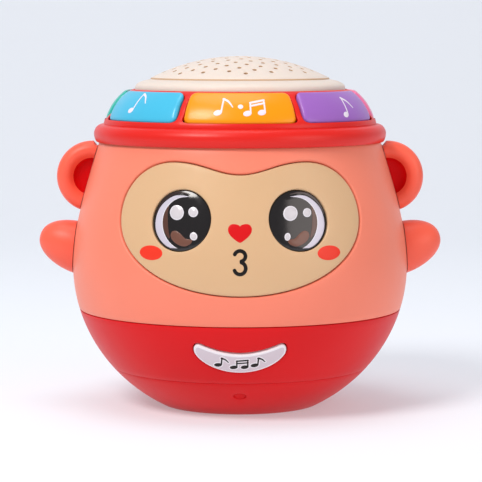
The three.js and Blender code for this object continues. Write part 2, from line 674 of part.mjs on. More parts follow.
function drumHead() {
  const outside = [
    ...domeArc(DOME_SPHERE, DOME_EDGE, 4),
    [37.2, 132.9], [40.9, 131.9], [HEAD_SKIRT, 130],
    [HEAD_SKIRT, 124.4], [44.6, 124.4], [44.6, 122.8],
  ];
  const inside = [[41.1, 122.8], [41.1, 129.4], [36.4, 131], ...domeArc(DOME_SPHERE - 2, 35, 3).reverse()];
  const shell = revolve([...outside, ...inside], NECK_SEGMENTS);
  const underside = [[0, 100], [41.5, 100], [41.5, 130], ...domeArc(DOME_SPHERE - 1, 35, 3).reverse()];
  const under = revolve(underside, NECK_SEGMENTS);
  const bosses = springAngles.flatMap((angle) => [
    standing(3.2, SPRING_CIRCLE, angle, SPRING_TOP + GAP, 140),
    standing(1.5, SPRING_CIRCLE, angle, 123, 140),
  ]);
  const striker = standing(2, SPRING_CIRCLE, DRUM_SWITCH_ANGLE, 126.2, 140);
  return join(shell, common(join(...bosses, striker), under));
}

function deck() {
  const slice = [[20.4, DECK_Z], [53.6, DECK_Z], [53.6, DECK_TOP], [20.4, DECK_TOP]];
  const plate = revolve(slice, INSIDE_SEGMENTS);
  const collar = revolve([[20.4, 102], [23, 102], [23, 111.6], [20.4, 111.6]], INSIDE_SEGMENTS);
  const posts = springAngles.flatMap((angle) => [
    standing(3.4, SPRING_CIRCLE, angle, 102, SPRING_BOTTOM - GAP),
    standing(1.5, SPRING_CIRCLE, angle, 102, 118.6),
  ]);
  const pillar = standing(3.4, SPRING_CIRCLE, DRUM_SWITCH_ANGLE, 102, 119);
  const lampPosts = lampAngles.map((angle) => standing(2.6, SPRING_CIRCLE, angle, 102, 112));
  return join(plate, collar, ...posts, pillar, ...lampPosts);
}

const keyBoard = () =>
  revolve([
    [37.4, KEY_BOARD_Z],
    [51.8, KEY_BOARD_Z],
    [51.8, KEY_BOARD_Z + BOARD_THICKNESS],
    [37.4, KEY_BOARD_Z + BOARD_THICKNESS],
  ], INSIDE_SEGMENTS);

function drumSwitch() {
  const [x, y] = onCircle(SPRING_CIRCLE, DRUM_SWITCH_ANGLE, 0);
  const body = box([x - 3, x + 3], [y - 3, y + 3], [119 + GAP, 122.6]);
  return join(body, rod(1.7, [x, y, 122], [x, y, 124], 12));
}

function lamp(angle) {
  const body = standing(2.5, SPRING_CIRCLE, angle, 112 + GAP, 116.5, 10);
  const [x, y, z] = onCircle(SPRING_CIRCLE, angle, 116.5);
  return join(body, solidOf(new THREE.SphereGeometry(2.5, 10, 6).rotateX(Math.PI / 2).translate(x, y, z)));
}

// A compression spring: one round wire wound about +Z.
class Helix extends THREE.Curve {
  constructor(radius, low, high, turns) {
    super();
    Object.assign(this, { radius, low, high, turns });
  }
  getPoint(t, target = new THREE.Vector3()) {
    const angle = 2 * Math.PI * this.turns * t;
    const z = this.low + (this.high - this.low) * t;
    return target.set(this.radius * Math.cos(angle), this.radius * Math.sin(angle), z);
  }
}

function drumSpring() {
  const wire = 0.35;
  const helix = new Helix(2.4, SPRING_BOTTOM + wire + 0.1, SPRING_TOP - wire - 0.1, 4);
  const middle = new THREE.Vector2();
  const corner = (i) => new THREE.Vector2(wire, 0).rotateAround(middle, (i * 2 * Math.PI) / 5);
  const section = new THREE.Shape([0, 1, 2, 3, 4].map(corner));
  const settings = { steps: 26, bevelEnabled: false, extrudePath: helix };
  const geometry = new THREE.ExtrudeGeometry(section, settings);
  return solidOf(geometry);
}

const SPEAKER_FRAME = [
  [11.5, 102.9], [13, 102.9], [20, 111.9], [22.5, 111.9],
  [22.5, 113.2], [20, 113.2], [12.4, 104.2], [11.5, 104.2],
];
const SPEAKER_MAGNET = [[0, 95.6], [12.5, 95.6], [12.5, 102.6], [0, 102.6]];
const SPEAKER_CONE = [
  [0, 107.8], [6.4, 106.2], [18.8, 113.5], [21.6, 113.5], [21.6, 114],
  [20, 114.6], [18.2, 114], [6.2, 107.2], [0, 108.8],
];

// ---------------------------------------------------------------- materials and the assembly

const plastic = (color, roughness = 0.42) =>
  new THREE.MeshStandardMaterial({ color, roughness, metalness: 0 });
const metal = (color, roughness = 0.35) =>
  new THREE.MeshStandardMaterial({ color, roughness, metalness: 1 });

const CORAL = plastic(0xf6796a);
const RED = plastic(0xd81b20);
const RIM_RED = plastic(0xe23a30);
const CREAM = plastic(0xf1e7dc, 0.5);
const FACE = plastic(0xecc898, 0.45);
const EYE_BLACK = plastic(0x241c1b, 0.2);
const WHITE = plastic(0xe6dfe3, 0.35);
const SILICONE = plastic(0xd9d6cf, 0.7);
const BOARD = plastic(0x1f6b3a, 0.5);
const BLACK = plastic(0x1b1b1d, 0.5);
const STEEL = metal(0xb9bcc0);
const KEY_COLOURS = {
  orange: 0xffab05,
  purple: 0x9a5fc0,
  pink: 0xf27aa8,
  yellow: 0xf6d53a,
  green: 0x5fc25a,
  teal: 0x2fb7a8,
  blue: 0x55cdf0,
};

const monkeyDrum = new THREE.Group();
monkeyDrum.name = "monkey_drum";

function add(name, solid, material, parent = monkeyDrum) {
  const mesh = new THREE.Mesh(geometryOf(solid), material);
  mesh.name = name;
  parent.add(mesh);
  return mesh;
}

add("base_cover", baseCover(), RED);
add("lower_shell", lowerShell(), RED);
add("front_shell", frontShell(), CORAL);
add("rear_shell", rearShell(), CORAL);
add("rim_ring", rimRing(), RIM_RED);
add("drum_head", drumHead(), CREAM);
add("face_plate", facePlate(), FACE);
for (const [label, side] of [["left", -1], ["right", 1]]) {
  add(`eye_${label}`, eye(side), EYE_BLACK);
  add(`ear_${label}`, ear(side), CORAL);
  add(`arm_${label}`, arm(side), CORAL);
  add(`battery_contact_${label}`, contact(side), STEEL);
}

const [oneKey, onePad] = [key(), pad(KEY_STEM_Z - GAP - KEY_PAD_Z)];
KEY_NAMES.forEach((colour, i) => {
  const place = new THREE.Group();
  place.rotation.z = keyAngle(i);
  add(`key_${colour}`, oneKey, plastic(KEY_COLOURS[colour], 0.3), place);
  add(`key_pad_${colour}`, onePad, SILICONE, place).position.set(0, -KEY_STEM_RADIUS, KEY_PAD_Z);
  monkeyDrum.add(place);
});
add("key_board", keyBoard(), BOARD);

add("deck", deck(), WHITE);
const oneSpring = drumSpring();
springAngles.forEach((angle, i) => {
  const spring = add(`drum_spring_${i + 1}`, oneSpring, STEEL);
  spring.position.set(...onCircle(SPRING_CIRCLE, angle, 0));
});
add("drum_switch", drumSwitch(), BLACK);
lampAngles.forEach((angle, i) => add(`lamp_${i + 1}`, lamp(angle), WHITE));
add("speaker_frame", revolve(SPEAKER_FRAME, INSIDE_SEGMENTS), STEEL);
add("speaker_magnet", revolve(SPEAKER_MAGNET, INSIDE_SEGMENTS), STEEL);
add("speaker_cone", revolve(SPEAKER_CONE, INSIDE_SEGMENTS), BLACK);

add("music_key", musicKey(), WHITE);
add("music_board", musicBoard(), BOARD);
const musicPlace = new THREE.Group();
musicPlace.applyMatrix4(frontBowl);
add("music_pad", pad(musicPadHeight), SILICONE, musicPlace).position.z = MUSIC.boardTop + GAP;
monkeyDrum.add(musicPlace);
add("volume_switch_body", switchBody(), BLACK);
add("volume_switch_knob", switchKnob(), WHITE);
add("main_board", mainBoard(), BOARD);
add("sound_chip", soundChip(), BLACK);

add("battery_tray", batteryTray(), WHITE);
add("battery_door", batteryDoor(), CORAL);
const oneCell = cell();
for (let i = 0; i < CELL.count; i++) {
  const battery = add(`battery_${i + 1}`, oneCell, STEEL);
  battery.position.set(0, CELL.y, cellZ(i));
  battery.rotation.y = i % 2 ? -Math.PI / 2 : Math.PI / 2; // neighbours lie head to tail
}

const doorScrew = add("door_screw", screw(6), STEEL);
doorScrew.position.set(0, doorScrewSeat + 0.05, DOOR_SCREW_Z);
doorScrew.rotation.x = Math.PI / 2;
const baseScrew = screw(8);
BASE_SCREW_ANGLES.forEach((angle, i) => {
  const fixing = add(`base_screw_${i + 1}`, baseScrew, STEEL);
  fixing.position.set(...onCircle(BASE_SCREW_CIRCLE, angle, BASE_SEAT_Z - GAP / 2));
});
const shellScrew = screw(9);
SHELL_SCREWS.forEach(({ name, x, z }) => {
  const fixing = add(`shell_screw_${name}`, shellScrew, STEEL);
  fixing.position.set(x, SHELL_BOSS.seat + GAP / 2, z);
  fixing.rotation.x = Math.PI / 2;
});

export default monkeyDrum;
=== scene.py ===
"""The looks of a round, monkey-faced toy drum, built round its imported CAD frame.

Shapes are worked out in millimetres, in the frame's own axes: +Z is up, the face looks along -Y,
and the origin is the centre of the flat foot. Each piece is scaled to metres as it is made.
"""
import math

import bmesh
import bpy
import numpy as np
from mathutils import Matrix, Vector
from mathutils.geometry import delaunay_2d_cdt


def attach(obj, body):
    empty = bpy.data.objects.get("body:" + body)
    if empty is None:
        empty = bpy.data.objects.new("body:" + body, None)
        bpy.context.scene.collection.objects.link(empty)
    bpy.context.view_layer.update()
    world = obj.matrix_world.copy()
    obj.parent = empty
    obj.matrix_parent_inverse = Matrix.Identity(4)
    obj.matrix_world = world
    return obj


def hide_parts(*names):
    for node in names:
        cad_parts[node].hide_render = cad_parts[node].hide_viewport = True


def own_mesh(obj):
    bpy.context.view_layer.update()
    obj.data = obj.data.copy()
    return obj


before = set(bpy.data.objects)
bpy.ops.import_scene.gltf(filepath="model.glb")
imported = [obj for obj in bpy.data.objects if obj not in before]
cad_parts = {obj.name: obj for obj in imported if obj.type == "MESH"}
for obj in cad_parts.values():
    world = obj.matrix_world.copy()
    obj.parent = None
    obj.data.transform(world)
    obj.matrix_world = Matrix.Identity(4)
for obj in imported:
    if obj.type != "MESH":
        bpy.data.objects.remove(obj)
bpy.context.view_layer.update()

# ---------------------------------------------------------------- driving dimensions, millimetres

MM = 0.001
GAP = 0.3  # between pieces that meet
WALL = 2.4  # casing wall
ROUND = 192  # steps round the casing
WELD = 0.001  # points closer than this are one

# The casing's outline: an elliptical bowl below the belly, a tapering dome above it.
BELLY_RADIUS = 68.5
BELLY_Z = 57.0
BOWL_DROP = 64.6
NECK_RADIUS = 57.75
NECK_Z = 106.5
NECK_TAPER = 0.29
NECK_TOP = 108.2
BASE_SEAM_Z = 15.5
BASE_SEAM_GAP = 0.1
SHELL_SEAM_Z = 39.3
FOOT_RADIUS = 32.2
SOLE_RADIUS = 24.0
FOOT_LIFT = 0.02  # from the foot's edge to the cover's wall

# The thumb notch at the front of the foot.
NOTCH_Z = 9.6
NOTCH_HALF_WIDTH = 3.796
NOTCH_HALF_HEIGHT = 1.35
NOTCH_DEPTH = 1.3

# The band that carries the keys is an arc in section, and so is each key's face.
BAND_RADIUS = 34.1
BAND_Z = 111.1
BAND_ARC = 20.3
BAND_LOW_RISE = math.radians(9.5)
FLARE = 1.6
FLARE_START = math.radians(29)
FLARE_ANGLE = math.radians(15)
KEY_ARC = 21.5
KEY_COUNT = 7
KEY_HALF_ANGLE = math.radians(24)
KEY_INNER = 45.8
KEY_OUTER = 54.9
KEY_CORNER = 2.8
KEY_SLACK = 0.4
KEY_FLOOR = 113.5
KEY_CIRCLE = 50.0  # distances along a key are measured at this radius
KEY_STEM_RADIUS = 48.2
KEY_NAMES = ("orange", "purple", "pink", "yellow", "green", "teal", "blue")  # round from the front

# The silicone pads under the keys: their height and where they sit.
PAD_HEIGHT = 4.8
KEY_PAD_Z = 105.4
MUSIC_PAD_OUT = -11.2

# The drum head: a spherical cap with holes, on a sloping flange.
DOME_TOP = 142.3
DOME_EDGE = 36.7
DOME_SPHERE = 79.4
HEAD_OPENING = 43.5
HOLE_COUNT = 110
HOLE_SPREAD = 32.0
HOLE_RADIUS = 0.75

SPRING_ANGLES = (90, 210, 330)
SPRING_CIRCLE = 33.0
SPRING_SEAT = 116.0
SPRING_WIRE = 0.35
SPRING_RADIUS = 2.4
SPRING_TURNS = 5
SPRING_RISE = 8.8

EYE_X = 22.9
EYE_Z = 80.3
EYE_RADIUS = 11.8
EYE_SUNK = 0.8
NOSE_Z = 75.7
PRINT_LIFT = 0.05
MOUTH_STROKE = 1.45
CHEEK = (34.2, 67.5, 4.45, 2.8)  # place across and up, and half sizes

EAR_X = 60.6
EAR_Y = 2.5
EAR_Z = 93.1
EAR_DISH_RADIUS = 7.7
ARM_X = 66.5
ARM_Y = 1.5
ARM_Z = 63.8
ARM_LIFT = math.radians(20)
ARM_HALF_LENGTH = 16.5
ARM_HALF_DEPTH = 10.0
ARM_HALF_HEIGHT = 10.6

BOWL_CONTROL_Z = 25.9
KNOB_MIDDLE = -3.0
DOOR_HALF_WIDTH = 28.5
DOOR_LOW = 46.0
DOOR_HIGH = 92.0
DOOR_CORNER = 5.0
DOOR_SCREW_Z = 50.5
CELL_Y = 49.4
CELL_Z = 73.0
CELL_PITCH = 11.2
CELL_RADIUS = 5.25
CELL_LENGTH = 44.5
CONTACT_SHEET = 0.4
CONTACT_WIRE = 0.28

SCREW_WELL = 2.8
BASE_WELL_FLOOR = 14.05
SHELL_WELL_FLOOR = 3.9
SCREW_LENGTH = 7
THREAD_PITCH = 0.9
BASE_SCREW_CIRCLE = 47.0
BASE_SCREW_ANGLES = (10, 90, 170)
SHELL_SCREWS = {
    "upper_left": (-50, 97),
    "upper_right": (50, 97),
    "lower_left": (-54, 48.5),
    "lower_right": (54, 48.5),
}

SIDES = {"left": -1, "right": 1}
FRONT, REAR = 1, -1
UP = Vector((0, 0, 1))

# Edges, from the side of a panel to its face: (how far in, how deep).
SEAM_EDGE = ((0, 0.45), (0.12, 0.14), (0.45, 0))
TIGHT_EDGE = ((0, 0.12), (0.04, 0.04), (0.12, 0))
SOFT_EDGE = ((0, 0.9), (0.1, 0.5), (0.3, 0.22), (0.6, 0.06), (1.0, 0))
PUFFY_EDGE = ((0, 1.5), (0.08, 1.0), (0.28, 0.6), (0.6, 0.3), (1.05, 0.1), (1.6, 0.02), (2.2, 0))
SMILE_EDGE = ((0, 0.9), (0.08, 0.5), (0.25, 0.22), (0.5, 0.06), (0.95, 0))
SOCKET_EDGE = ((0, 0.6), (0.1, 0.28), (0.3, 0.08), (0.6, 0))
SMALL_EDGE = ((0, 0.3), (0.08, 0.1), (0.3, 0))
WELL_EDGE = ((0, 0.3), (0.1, 0.1), (0.3, 0))
NOTCH_EDGE = ((0, 0.2), (0.15, 0.06), (0.4, 0))
WINDOW_EDGE = ((0, 0.25), (0.08, 0.08), (0.25, 0))
DOME_EDGING = ((0, 0.5), (0.15, 0.18), (0.5, 0))
HOLE_EDGE = ((0, 0.16), (0.05, 0.05), (0.16, 0))
GRIP_EDGE = ((0, 0.35), (0.1, 0.1), (0.35, 0))
RIB_EDGE = ((0, 0.35), (0.08, 0.12), (0.25, 0))
TAB_EDGE = ((0, 0.15), (0.15, 0))
SHEET_EDGE = ((0, 0.1), (0.1, 0))
GROOVE_EDGE = ((0, 0.1), (0.08, 0))
RECESS_EDGE = ((0, 0.1), (0.06, 0))


# ---------------------------------------------------------------- meshes


class Mesh:
    """Points and faces, collected island by island, with a material number for each face."""

    def __init__(self):
        self.points = []
        self.faces = []
        self.slots = []

    def add(self, points, faces, slot=0):
        first = len(self.points)
        self.points.extend(tuple(point) for point in points)
        self.faces.extend(tuple(first + i for i in face) for face in faces)
        self.slots.extend([slot] * len(faces))

    def strip(self, rows, slot=0, closed=True, live=None):
        """Quads between rows of points. live says which points of a row carry the strip."""
        count = len(rows[0])
        steps = range(count if closed else count - 1)
        if live is not None:
            steps = [i for i in steps if live[i] and live[(i + 1) % count]]
        faces = []
        for low in range(0, count * (len(rows) - 1), count):
            high = low + count
            faces += [(low + i, low + (i + 1) % count, high + (i + 1) % count, high + i) for i in steps]
        self.add([point for row in rows for point in row], faces, slot)

    def fan(self, row, tip, slot=0):
        """Closes a row of points round to a tip."""
        count = len(row)
        self.add([*row, tip], [(i, (i + 1) % count, count) for i in range(count)], slot)


def to_object(mesh, name, materials, crease=32.0):
    """The mesh as a Blender object in metres, smooth but for edges sharper than crease degrees."""
    work = bmesh.new()
    points = [work.verts.new(Vector(point) * MM) for point in mesh.points]
    for face, slot in zip(mesh.faces, mesh.slots):
        made = work.faces.new([points[i] for i in face])
        made.material_index = slot
        made.smooth = True
    bmesh.ops.remove_doubles(work, verts=work.verts, dist=WELD * MM)
    bmesh.ops.dissolve_degenerate(work, edges=work.edges, dist=WELD * MM * 0.1)
    bmesh.ops.recalc_face_normals(work, faces=work.faces)
    data = bpy.data.meshes.new(name)
    work.to_mesh(data)
    work.free()
    for material in materials:
        data.materials.append(material)
    data.set_sharp_from_angle(angle=math.radians(crease))
    made = bpy.data.objects.new(name, data)
    bpy.context.scene.collection.objects.link(made)
    return made


def piece(mesh, name, materials, body, nodes=(), crease=32.0):
    """A finished piece: it rides on a body, and stands for some CAD nodes."""
    made = to_object(mesh, name, materials, crease)
    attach(made, body)
    if nodes:
        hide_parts(*nodes)
    return made


def area_of(loop):
    return sum(a[0] * b[1] - b[0] * a[1] for a, b in zip(loop, [*loop[1:], loop[0]])) / 2


def sideways(loop, inwards):
    """At each point of a closed loop, the unit direction that leads into it, or out of it."""
    turn = 1 if (area_of(loop) > 0) == inwards else -1
    found = []
    for before, after in zip([loop[-1], *loop[:-1]], [*loop[1:], loop[0]]):
        x, y = after[0] - before[0], after[1] - before[1]
        size = math.hypot(x, y)
        found.append((-turn * y / size, turn * x / size))
    return found


def grow(loop, by):
    return [(x + by * dx, y + by * dy) for (x, y), (dx, dy) in zip(loop, sideways(loop, False))]


class Edge:
    """A panel's outline, or a hole in it, and how the panel ends there.

    profile goes from the side to the face, along is the way down when that isn't the surface's own,
    back gives the wall's far end, and a blind hole has a floor there.
    """

    def __init__(self, loop, profile=SEAM_EDGE, along=None, back=None, blind=False):
        self.loop = loop
        self.profile = profile
        self.along = along
        self.back = back
        self.blind = blind
        self.into = None  # set by the panel, or by a ring that has no sides

    def moved(self, offset):
        return [(x + offset * dx, y + offset * dy) for (x, y), (dx, dy) in zip(self.loop, self.into)]


def inside(points, loops):
    """Which points lie inside the loops, counting a loop in a loop as a hole."""
    result = np.zeros(len(points), bool)
    x, y = points[:, 0:1], points[:, 1:2]
    for loop in loops:
        a = np.array(loop)
        b = np.roll(a, -1, 0)
        straddles = (a[:, 1] > y) != (b[:, 1] > y)
        with np.errstate(divide="ignore", invalid="ignore"):
            crossing = a[:, 0] + (y - a[:, 1]) * (b[:, 0] - a[:, 0]) / (b[:, 1] - a[:, 1])
        result ^= (np.count_nonzero(straddles & (x < crossing), 1) % 2).astype(bool)
    return result


def clear_of(points, loops, distance):
    """Which points are further than a distance from every loop."""
    result = np.ones(len(points), bool)
    for loop in loops:
        a = np.array(loop)
        ab = np.roll(a, -1, 0) - a
        size = np.maximum((ab**2).sum(1), 1e-12)
        offset = points[:, None, :] - a
        share = np.clip((offset * ab).sum(2) / size, 0, 1)
        gap = np.linalg.norm(offset - share[:, :, None] * ab, axis=2).min(1)
        result &= gap > distance
    return result


def triangulate(loops, spacing):
    """Fills the room between loops with even triangles. Returns the points and the triangles."""
    corners = np.array([point for loop in loops for point in loop])
    low, high = corners.min(0), corners.max(0)
    row_height = spacing * math.sqrt(3) / 2
    rows = max(1, int((high[1] - low[1]) / row_height))
    columns = max(1, int((high[0] - low[0]) / spacing))
    grid = np.array([
        (low[0] + (i + 0.5 * (j % 2)) * spacing, low[1] + j * row_height)
        for j in range(rows + 1)
        for i in range(columns + 1)
    ])
    grid = grid[inside(grid, loops)]
    if len(grid):
        grid = grid[clear_of(grid, loops, spacing * 0.5)]
    points = [Vector(point) for point in corners] + [Vector(point) for point in grid]
    lines = []
    first = 0
    for loop in loops:
        lines += [(first + i, first + (i + 1) % len(loop)) for i in range(len(loop))]
        first += len(loop)
    made, _, faces, _, _, _ = delaunay_2d_cdt(points, lines, [], 0, 1e-7)
    made = np.array([tuple(point) for point in made])
    middles = np.array([made[list(face)].mean(0) for face in faces])
    kept = inside(middles, loops)
    return made, [face for face, keep in zip(faces, kept) if keep]


def panel(mesh, surface, thickness, outline, holes=(), spacing=2.5, slot=0, edge_slot=None,
          back_spacing=None):
    """A sheet of the surface, as thick as asked, with rounded edges round its outline and holes.

    surface turns two coordinates into a point on the face and the unit way down from it.
    """
    edge_slot = slot if edge_slot is None else edge_slot
    edges = [outline, *holes]
    for i, edge in enumerate(edges):
        edge.into = edge.into or sideways(edge.loop, i == 0)

    def at(edge, point, depth):
        face, down = surface(*point)
        return face + (down if edge.along is None else edge.along) * depth

    def behind(edge, point):
        if edge.back:
            return edge.back(at(edge, point, edge.profile[0][1]))
        return at(edge, point, thickness)

    for edge in edges:
        live = [bool(dx or dy) for dx, dy in edge.into]
        rings = [[behind(edge, point) for point in edge.loop]]
        for offset, depth in edge.profile:
            rings.append([at(edge, point, depth) for point in edge.moved(offset)])
        mesh.strip(rings, edge_slot, live=live)
        if edge.blind:
            points, faces = triangulate([edge.loop], spacing)
            mesh.add([behind(edge, point) for point in points], faces, edge_slot)

    points, faces = triangulate([edge.moved(edge.profile[-1][0]) for edge in edges], spacing)
    mesh.add([surface(*point)[0] for point in points], faces, slot)

    through = [edge for edge in edges if not edge.blind]
    far = {nearby(point): behind(edge, point) for edge in through for point in edge.loop}
    points, faces = triangulate([edge.loop for edge in through], back_spacing or spacing * 1.6)
    for point in points:
        if nearby(point) not in far:
            face, down = surface(*point)
            far[nearby(point)] = outline.back(face) if outline.back else face + down * thickness
    mesh.add([far[nearby(point)] for point in points], faces, edge_slot)


def nearby(point):
    """The same key for points that differ only by rounding."""
    return round(point[0], 5), round(point[1], 5)


def ring_edge(half, low, high, step, turned, profile=SEAM_EDGE):
    """The outline of a panel that runs right round: its sides meet, so only its top and bottom end.

    turned is how far round its middle lies, and the sides meet opposite that.
    """
    across = [turned - half + 2 * half * i / ROUND for i in range(ROUND + 1)]
    rows = max(2, round((high - low) / step))
    between = [low + (high - low) * i / rows for i in range(1, rows)]
    loop = [(u, low) for u in across] + [(turned + half, v) for v in between]
    loop += [(u, high) for u in reversed(across)] + [(turned - half, v) for v in reversed(between)]
    edge = Edge(loop, profile)
    edge.into = [(0, 1)] * (ROUND + 1) + [(0, 0)] * len(between)
    edge.into += [(0, -1)] * (ROUND + 1) + [(0, 0)] * len(between)
    return edge


def spun(profile, count, place):
    """A row of points for each (radius, height), turned about +Z."""
    angles = [2 * math.pi * i / count for i in range(count)]
    return [[place @ Vector((r * math.sin(a), -r * math.cos(a), z)) for a in angles] for r, z in profile]


def lathe(mesh, profile, count=ROUND, place=Matrix.Identity(4)):
    """A profile of (radius, height) spun about +Z, from axis to axis or closed on itself."""
    if profile[0][0] > 0:
        mesh.strip(spun([*profile, profile[0]], count, place))
        return
    rows = spun(profile[1:-1], count, place)
    mesh.strip(rows)
    mesh.fan(rows[0], place @ Vector((0, 0, profile[0][1])))
    mesh.fan(rows[-1], place @ Vector((0, 0, profile[-1][1])))


def smooth_line(points, steps=6):
    """A smooth line through points."""
    made = []
    for i in range(len(points) - 1):
        before = points[max(i - 1, 0)]
        after = points[min(i + 2, len(points) - 1)]
        for s in range(steps):
            t = s / steps
            made.append(tuple(
                0.5 * (2 * q + (r - p) * t + (2 * p - 5 * q + 4 * r - w) * t**2
                       + (3 * q - p - 3 * r + w) * t**3)
                for p, q, r, w in zip(before, points[i], points[i + 1], after)
            ))
    return [*made, tuple(points[-1])]


def coil(wide, narrow, turns, steps):
    """Points of a coil seen along its axis, each with its share of the way along."""
    found = []
    for k in range(steps + 1):
        share = k / steps
        radius = wide + (narrow - wide) * share
        angle = 2 * math.pi * turns * share
        found.append((radius * math.cos(angle), radius * math.sin(angle), share))
    return found


def tube(mesh, line, radius, count=10):
    """A round wire along a line of points, with closed ends."""
    rows = []
    for i, point in enumerate(line):
        along = (line[min(i + 1, len(line) - 1)] - line[max(i - 1, 0)]).normalized()
        side = along.cross(UP).normalized() if abs(along.z) < 0.99 else along.cross(Vector((1, 0, 0)))
        other = along.cross(side).normalized()
        row = []
        for k in range(count):
            a = 2 * math.pi * k / count
            row.append(point + side * radius * math.cos(a) + other * radius * math.sin(a))
        rows.append(row)
    mesh.strip(rows)
    for row in (rows[0], rows[-1]):
        mesh.add(row, [tuple(range(count))])


def standing(x, y, z=0.0):
    return Matrix.Translation((x, y, z))


def on_circle(radius, degrees):
    """Across and back, at an angle from +X."""
    return radius * math.cos(math.radians(degrees)), radius * math.sin(math.radians(degrees))


def ellipse(x, y, rx, ry, turn=0.0, count=48):
    c, s = math.cos(turn), math.sin(turn)
    loop = []
    for i in range(count):
        a, b = rx * math.cos(2 * math.pi * i / count), ry * math.sin(2 * math.pi * i / count)
        loop.append((x + a * c - b * s, y + a * s + b * c))
    return loop


def circle(x, y, radius, count=48):
    return ellipse(x, y, radius, radius, count=count)


def arc_line(x, z, rx, rz, start, end, count=20):
    angles = [math.radians(start + (end - start) * i / count) for i in range(count + 1)]
    return [(x + rx * math.cos(a), z + rz * math.sin(a)) for a in angles]


def rounded_rectangle(x0, x1, y0, y1, corner, step=1.5):
    """A rounded rectangle with points along its sides too, counter-clockwise."""
    loop = []
    middles = ((x1 - corner, y0 + corner, -90), (x1 - corner, y1 - corner, 0),
               (x0 + corner, y1 - corner, 90), (x0 + corner, y0 + corner, 180))
    for x, y, start in middles:
        loop += arc_line(x, y, corner, corner, start, start + 90, 8)
    return resampled(loop, step)


def resampled(loop, step):
    """The same closed loop, with long sides cut into steps."""
    made = []
    for a, b in zip(loop, [*loop[1:], loop[0]]):
        size = math.dist(a, b)
        if size < 1e-6:
            continue
        count = max(1, round(size / step))
        made += [(a[0] + (b[0] - a[0]) * i / count, a[1] + (b[1] - a[1]) * i / count) for i in range(count)]
    return made


def bezier_loop(start, curves, steps=14):
    """A closed loop of cubic curves, each given by its two handles and its end."""
    loop = []
    here = start
    for handle_a, handle_b, end in curves:
        for i in range(steps):
            t = i / steps
            weights = ((1 - t) ** 3, 3 * t * (1 - t) ** 2, 3 * t**2 * (1 - t), t**3)
            points = (here, handle_a, handle_b, end)
            loop.append(tuple(sum(w * p[k] for w, p in zip(weights, points)) for k in (0, 1)))
        here = end
    return loop


def ribbon(line, width):
    """The outline of a stroke with round ends. width is one number, or a list with one for each point."""
    widths = width if isinstance(width, list) else [width] * len(line)
    left, right = [], []
    for i, (x, y) in enumerate(line):
        a, b = line[max(i - 1, 0)], line[min(i + 1, len(line) - 1)]
        size = math.dist(a, b)
        nx, ny = -(b[1] - a[1]) / size, (b[0] - a[0]) / size
        left.append((x + nx * widths[i] / 2, y + ny * widths[i] / 2))
        right.append((x - nx * widths[i] / 2, y - ny * widths[i] / 2))

    def cap(tip, start, radius):
        first = math.atan2(start[1] - tip[1], start[0] - tip[0])
        angles = [first - math.pi * k / 6 for k in range(1, 6)]
        return [(tip[0] + radius * math.cos(a), tip[1] + radius * math.sin(a)) for a in angles]

    loop = left + cap(line[-1], left[-1], widths[-1] / 2)
    return loop + right[::-1] + cap(line[0], right[0], widths[0] / 2)


# ---------------------------------------------------------------- surfaces


def body_radius(z):
    if z <= BELLY_Z:
        return BELLY_RADIUS * math.sqrt(max(1 - ((BELLY_Z - z) / BOWL_DROP) ** 2, 0.0))
    rise = NECK_Z - BELLY_Z
    u = (z - BELLY_Z) / rise
    from_belly = 2 * u**3 - 3 * u**2 + 1
    return BELLY_RADIUS * from_belly + NECK_RADIUS * (1 - from_belly) - NECK_TAPER * rise * (u**3 - u**2)


def body_slope(z):
    step = 0.01
    return (body_radius(z + step) - body_radius(z - step)) / (2 * step)


def casing_at(angle, z):
    """The casing's point at an angle from the front towards +X, and the way into it."""
    r = body_radius(z)
    s, c = math.sin(angle), math.cos(angle)
    return Vector((r * s, -r * c, z)), -Vector((s, -c, -body_slope(z))).normalized()


def casing_from(turn):
    """The casing as a surface: along its belly from an angle, and up."""
    return lambda u, v: casing_at(turn + u / BELLY_RADIUS, v)


front_casing = casing_from(0.0)
rear_casing = casing_from(math.pi)

def casing_loop(loop, facing):
    """A loop of x and z, seen from the front or the rear, in the casing's own coordinates there."""
    return [(facing * BELLY_RADIUS * math.asin(x / body_radius(z)), z) for x, z in loop]


def raised(surface, lift):
    """A surface moved out by a distance, or in by a negative one."""

    def found(u, v):
        point, down = surface(u, v)
        return point - down * lift, down

    return found


def front_at(x, z):
    """The casing's point straight behind x and z on the front."""
    return casing_at(math.asin(x / body_radius(z)), z)


def onto_casing(point, way):
    """Where a line from a point along a direction meets the casing."""
    for _ in range(12):
        gap = math.hypot(point.x, point.y) - body_radius(point.z)
        further = point + way * 0.01
        rate = (math.hypot(further.x, further.y) - body_radius(further.z) - gap) / 0.01
        point = point - way * (gap / rate)
    return point


class Tangent:
    """A flat frame that touches the casing: x across, y up its slope, and out of it."""

    def __init__(self, at, inward):
        self.at = at
        self.out = -inward
        self.across = UP.cross(self.out).normalized()
        self.up = self.out.cross(self.across)

    def spot(self, x, y):
        return onto_casing(self.at + self.across * x + self.up * y, self.out)

    def surface(self, raised):
        """The casing seen along the frame's own direction, raised or sunk by a distance."""
        return lambda x, y: (self.spot(x, y) + self.out * raised, -self.out)

    def casing_surface(self, raised):
        """The same, but its way down is the casing's own."""

        def found(x, y):
            point = self.spot(x, y)
            _, inward = casing_at(math.atan2(point.x, -point.y), point.z)
            return point - inward * raised, inward

        return found

    def matrix(self, out=0.0):
        """A matrix whose +Z is the frame's out, at a distance out of the casing."""
        turn = Matrix((self.across, self.up, self.out)).transposed().to_4x4()
        return Matrix.Translation(self.at) @ turn @ Matrix.Translation((0, 0, out))

    def plane(self, height):
        """The frame's own plane as a surface, at a height out of the casing."""
        place = self.matrix()
        return lambda x, y: (place @ Vector((x, y, height)), -self.out)


def bowl_tangent(angle):
    return Tangent(*casing_at(angle, BOWL_CONTROL_Z))


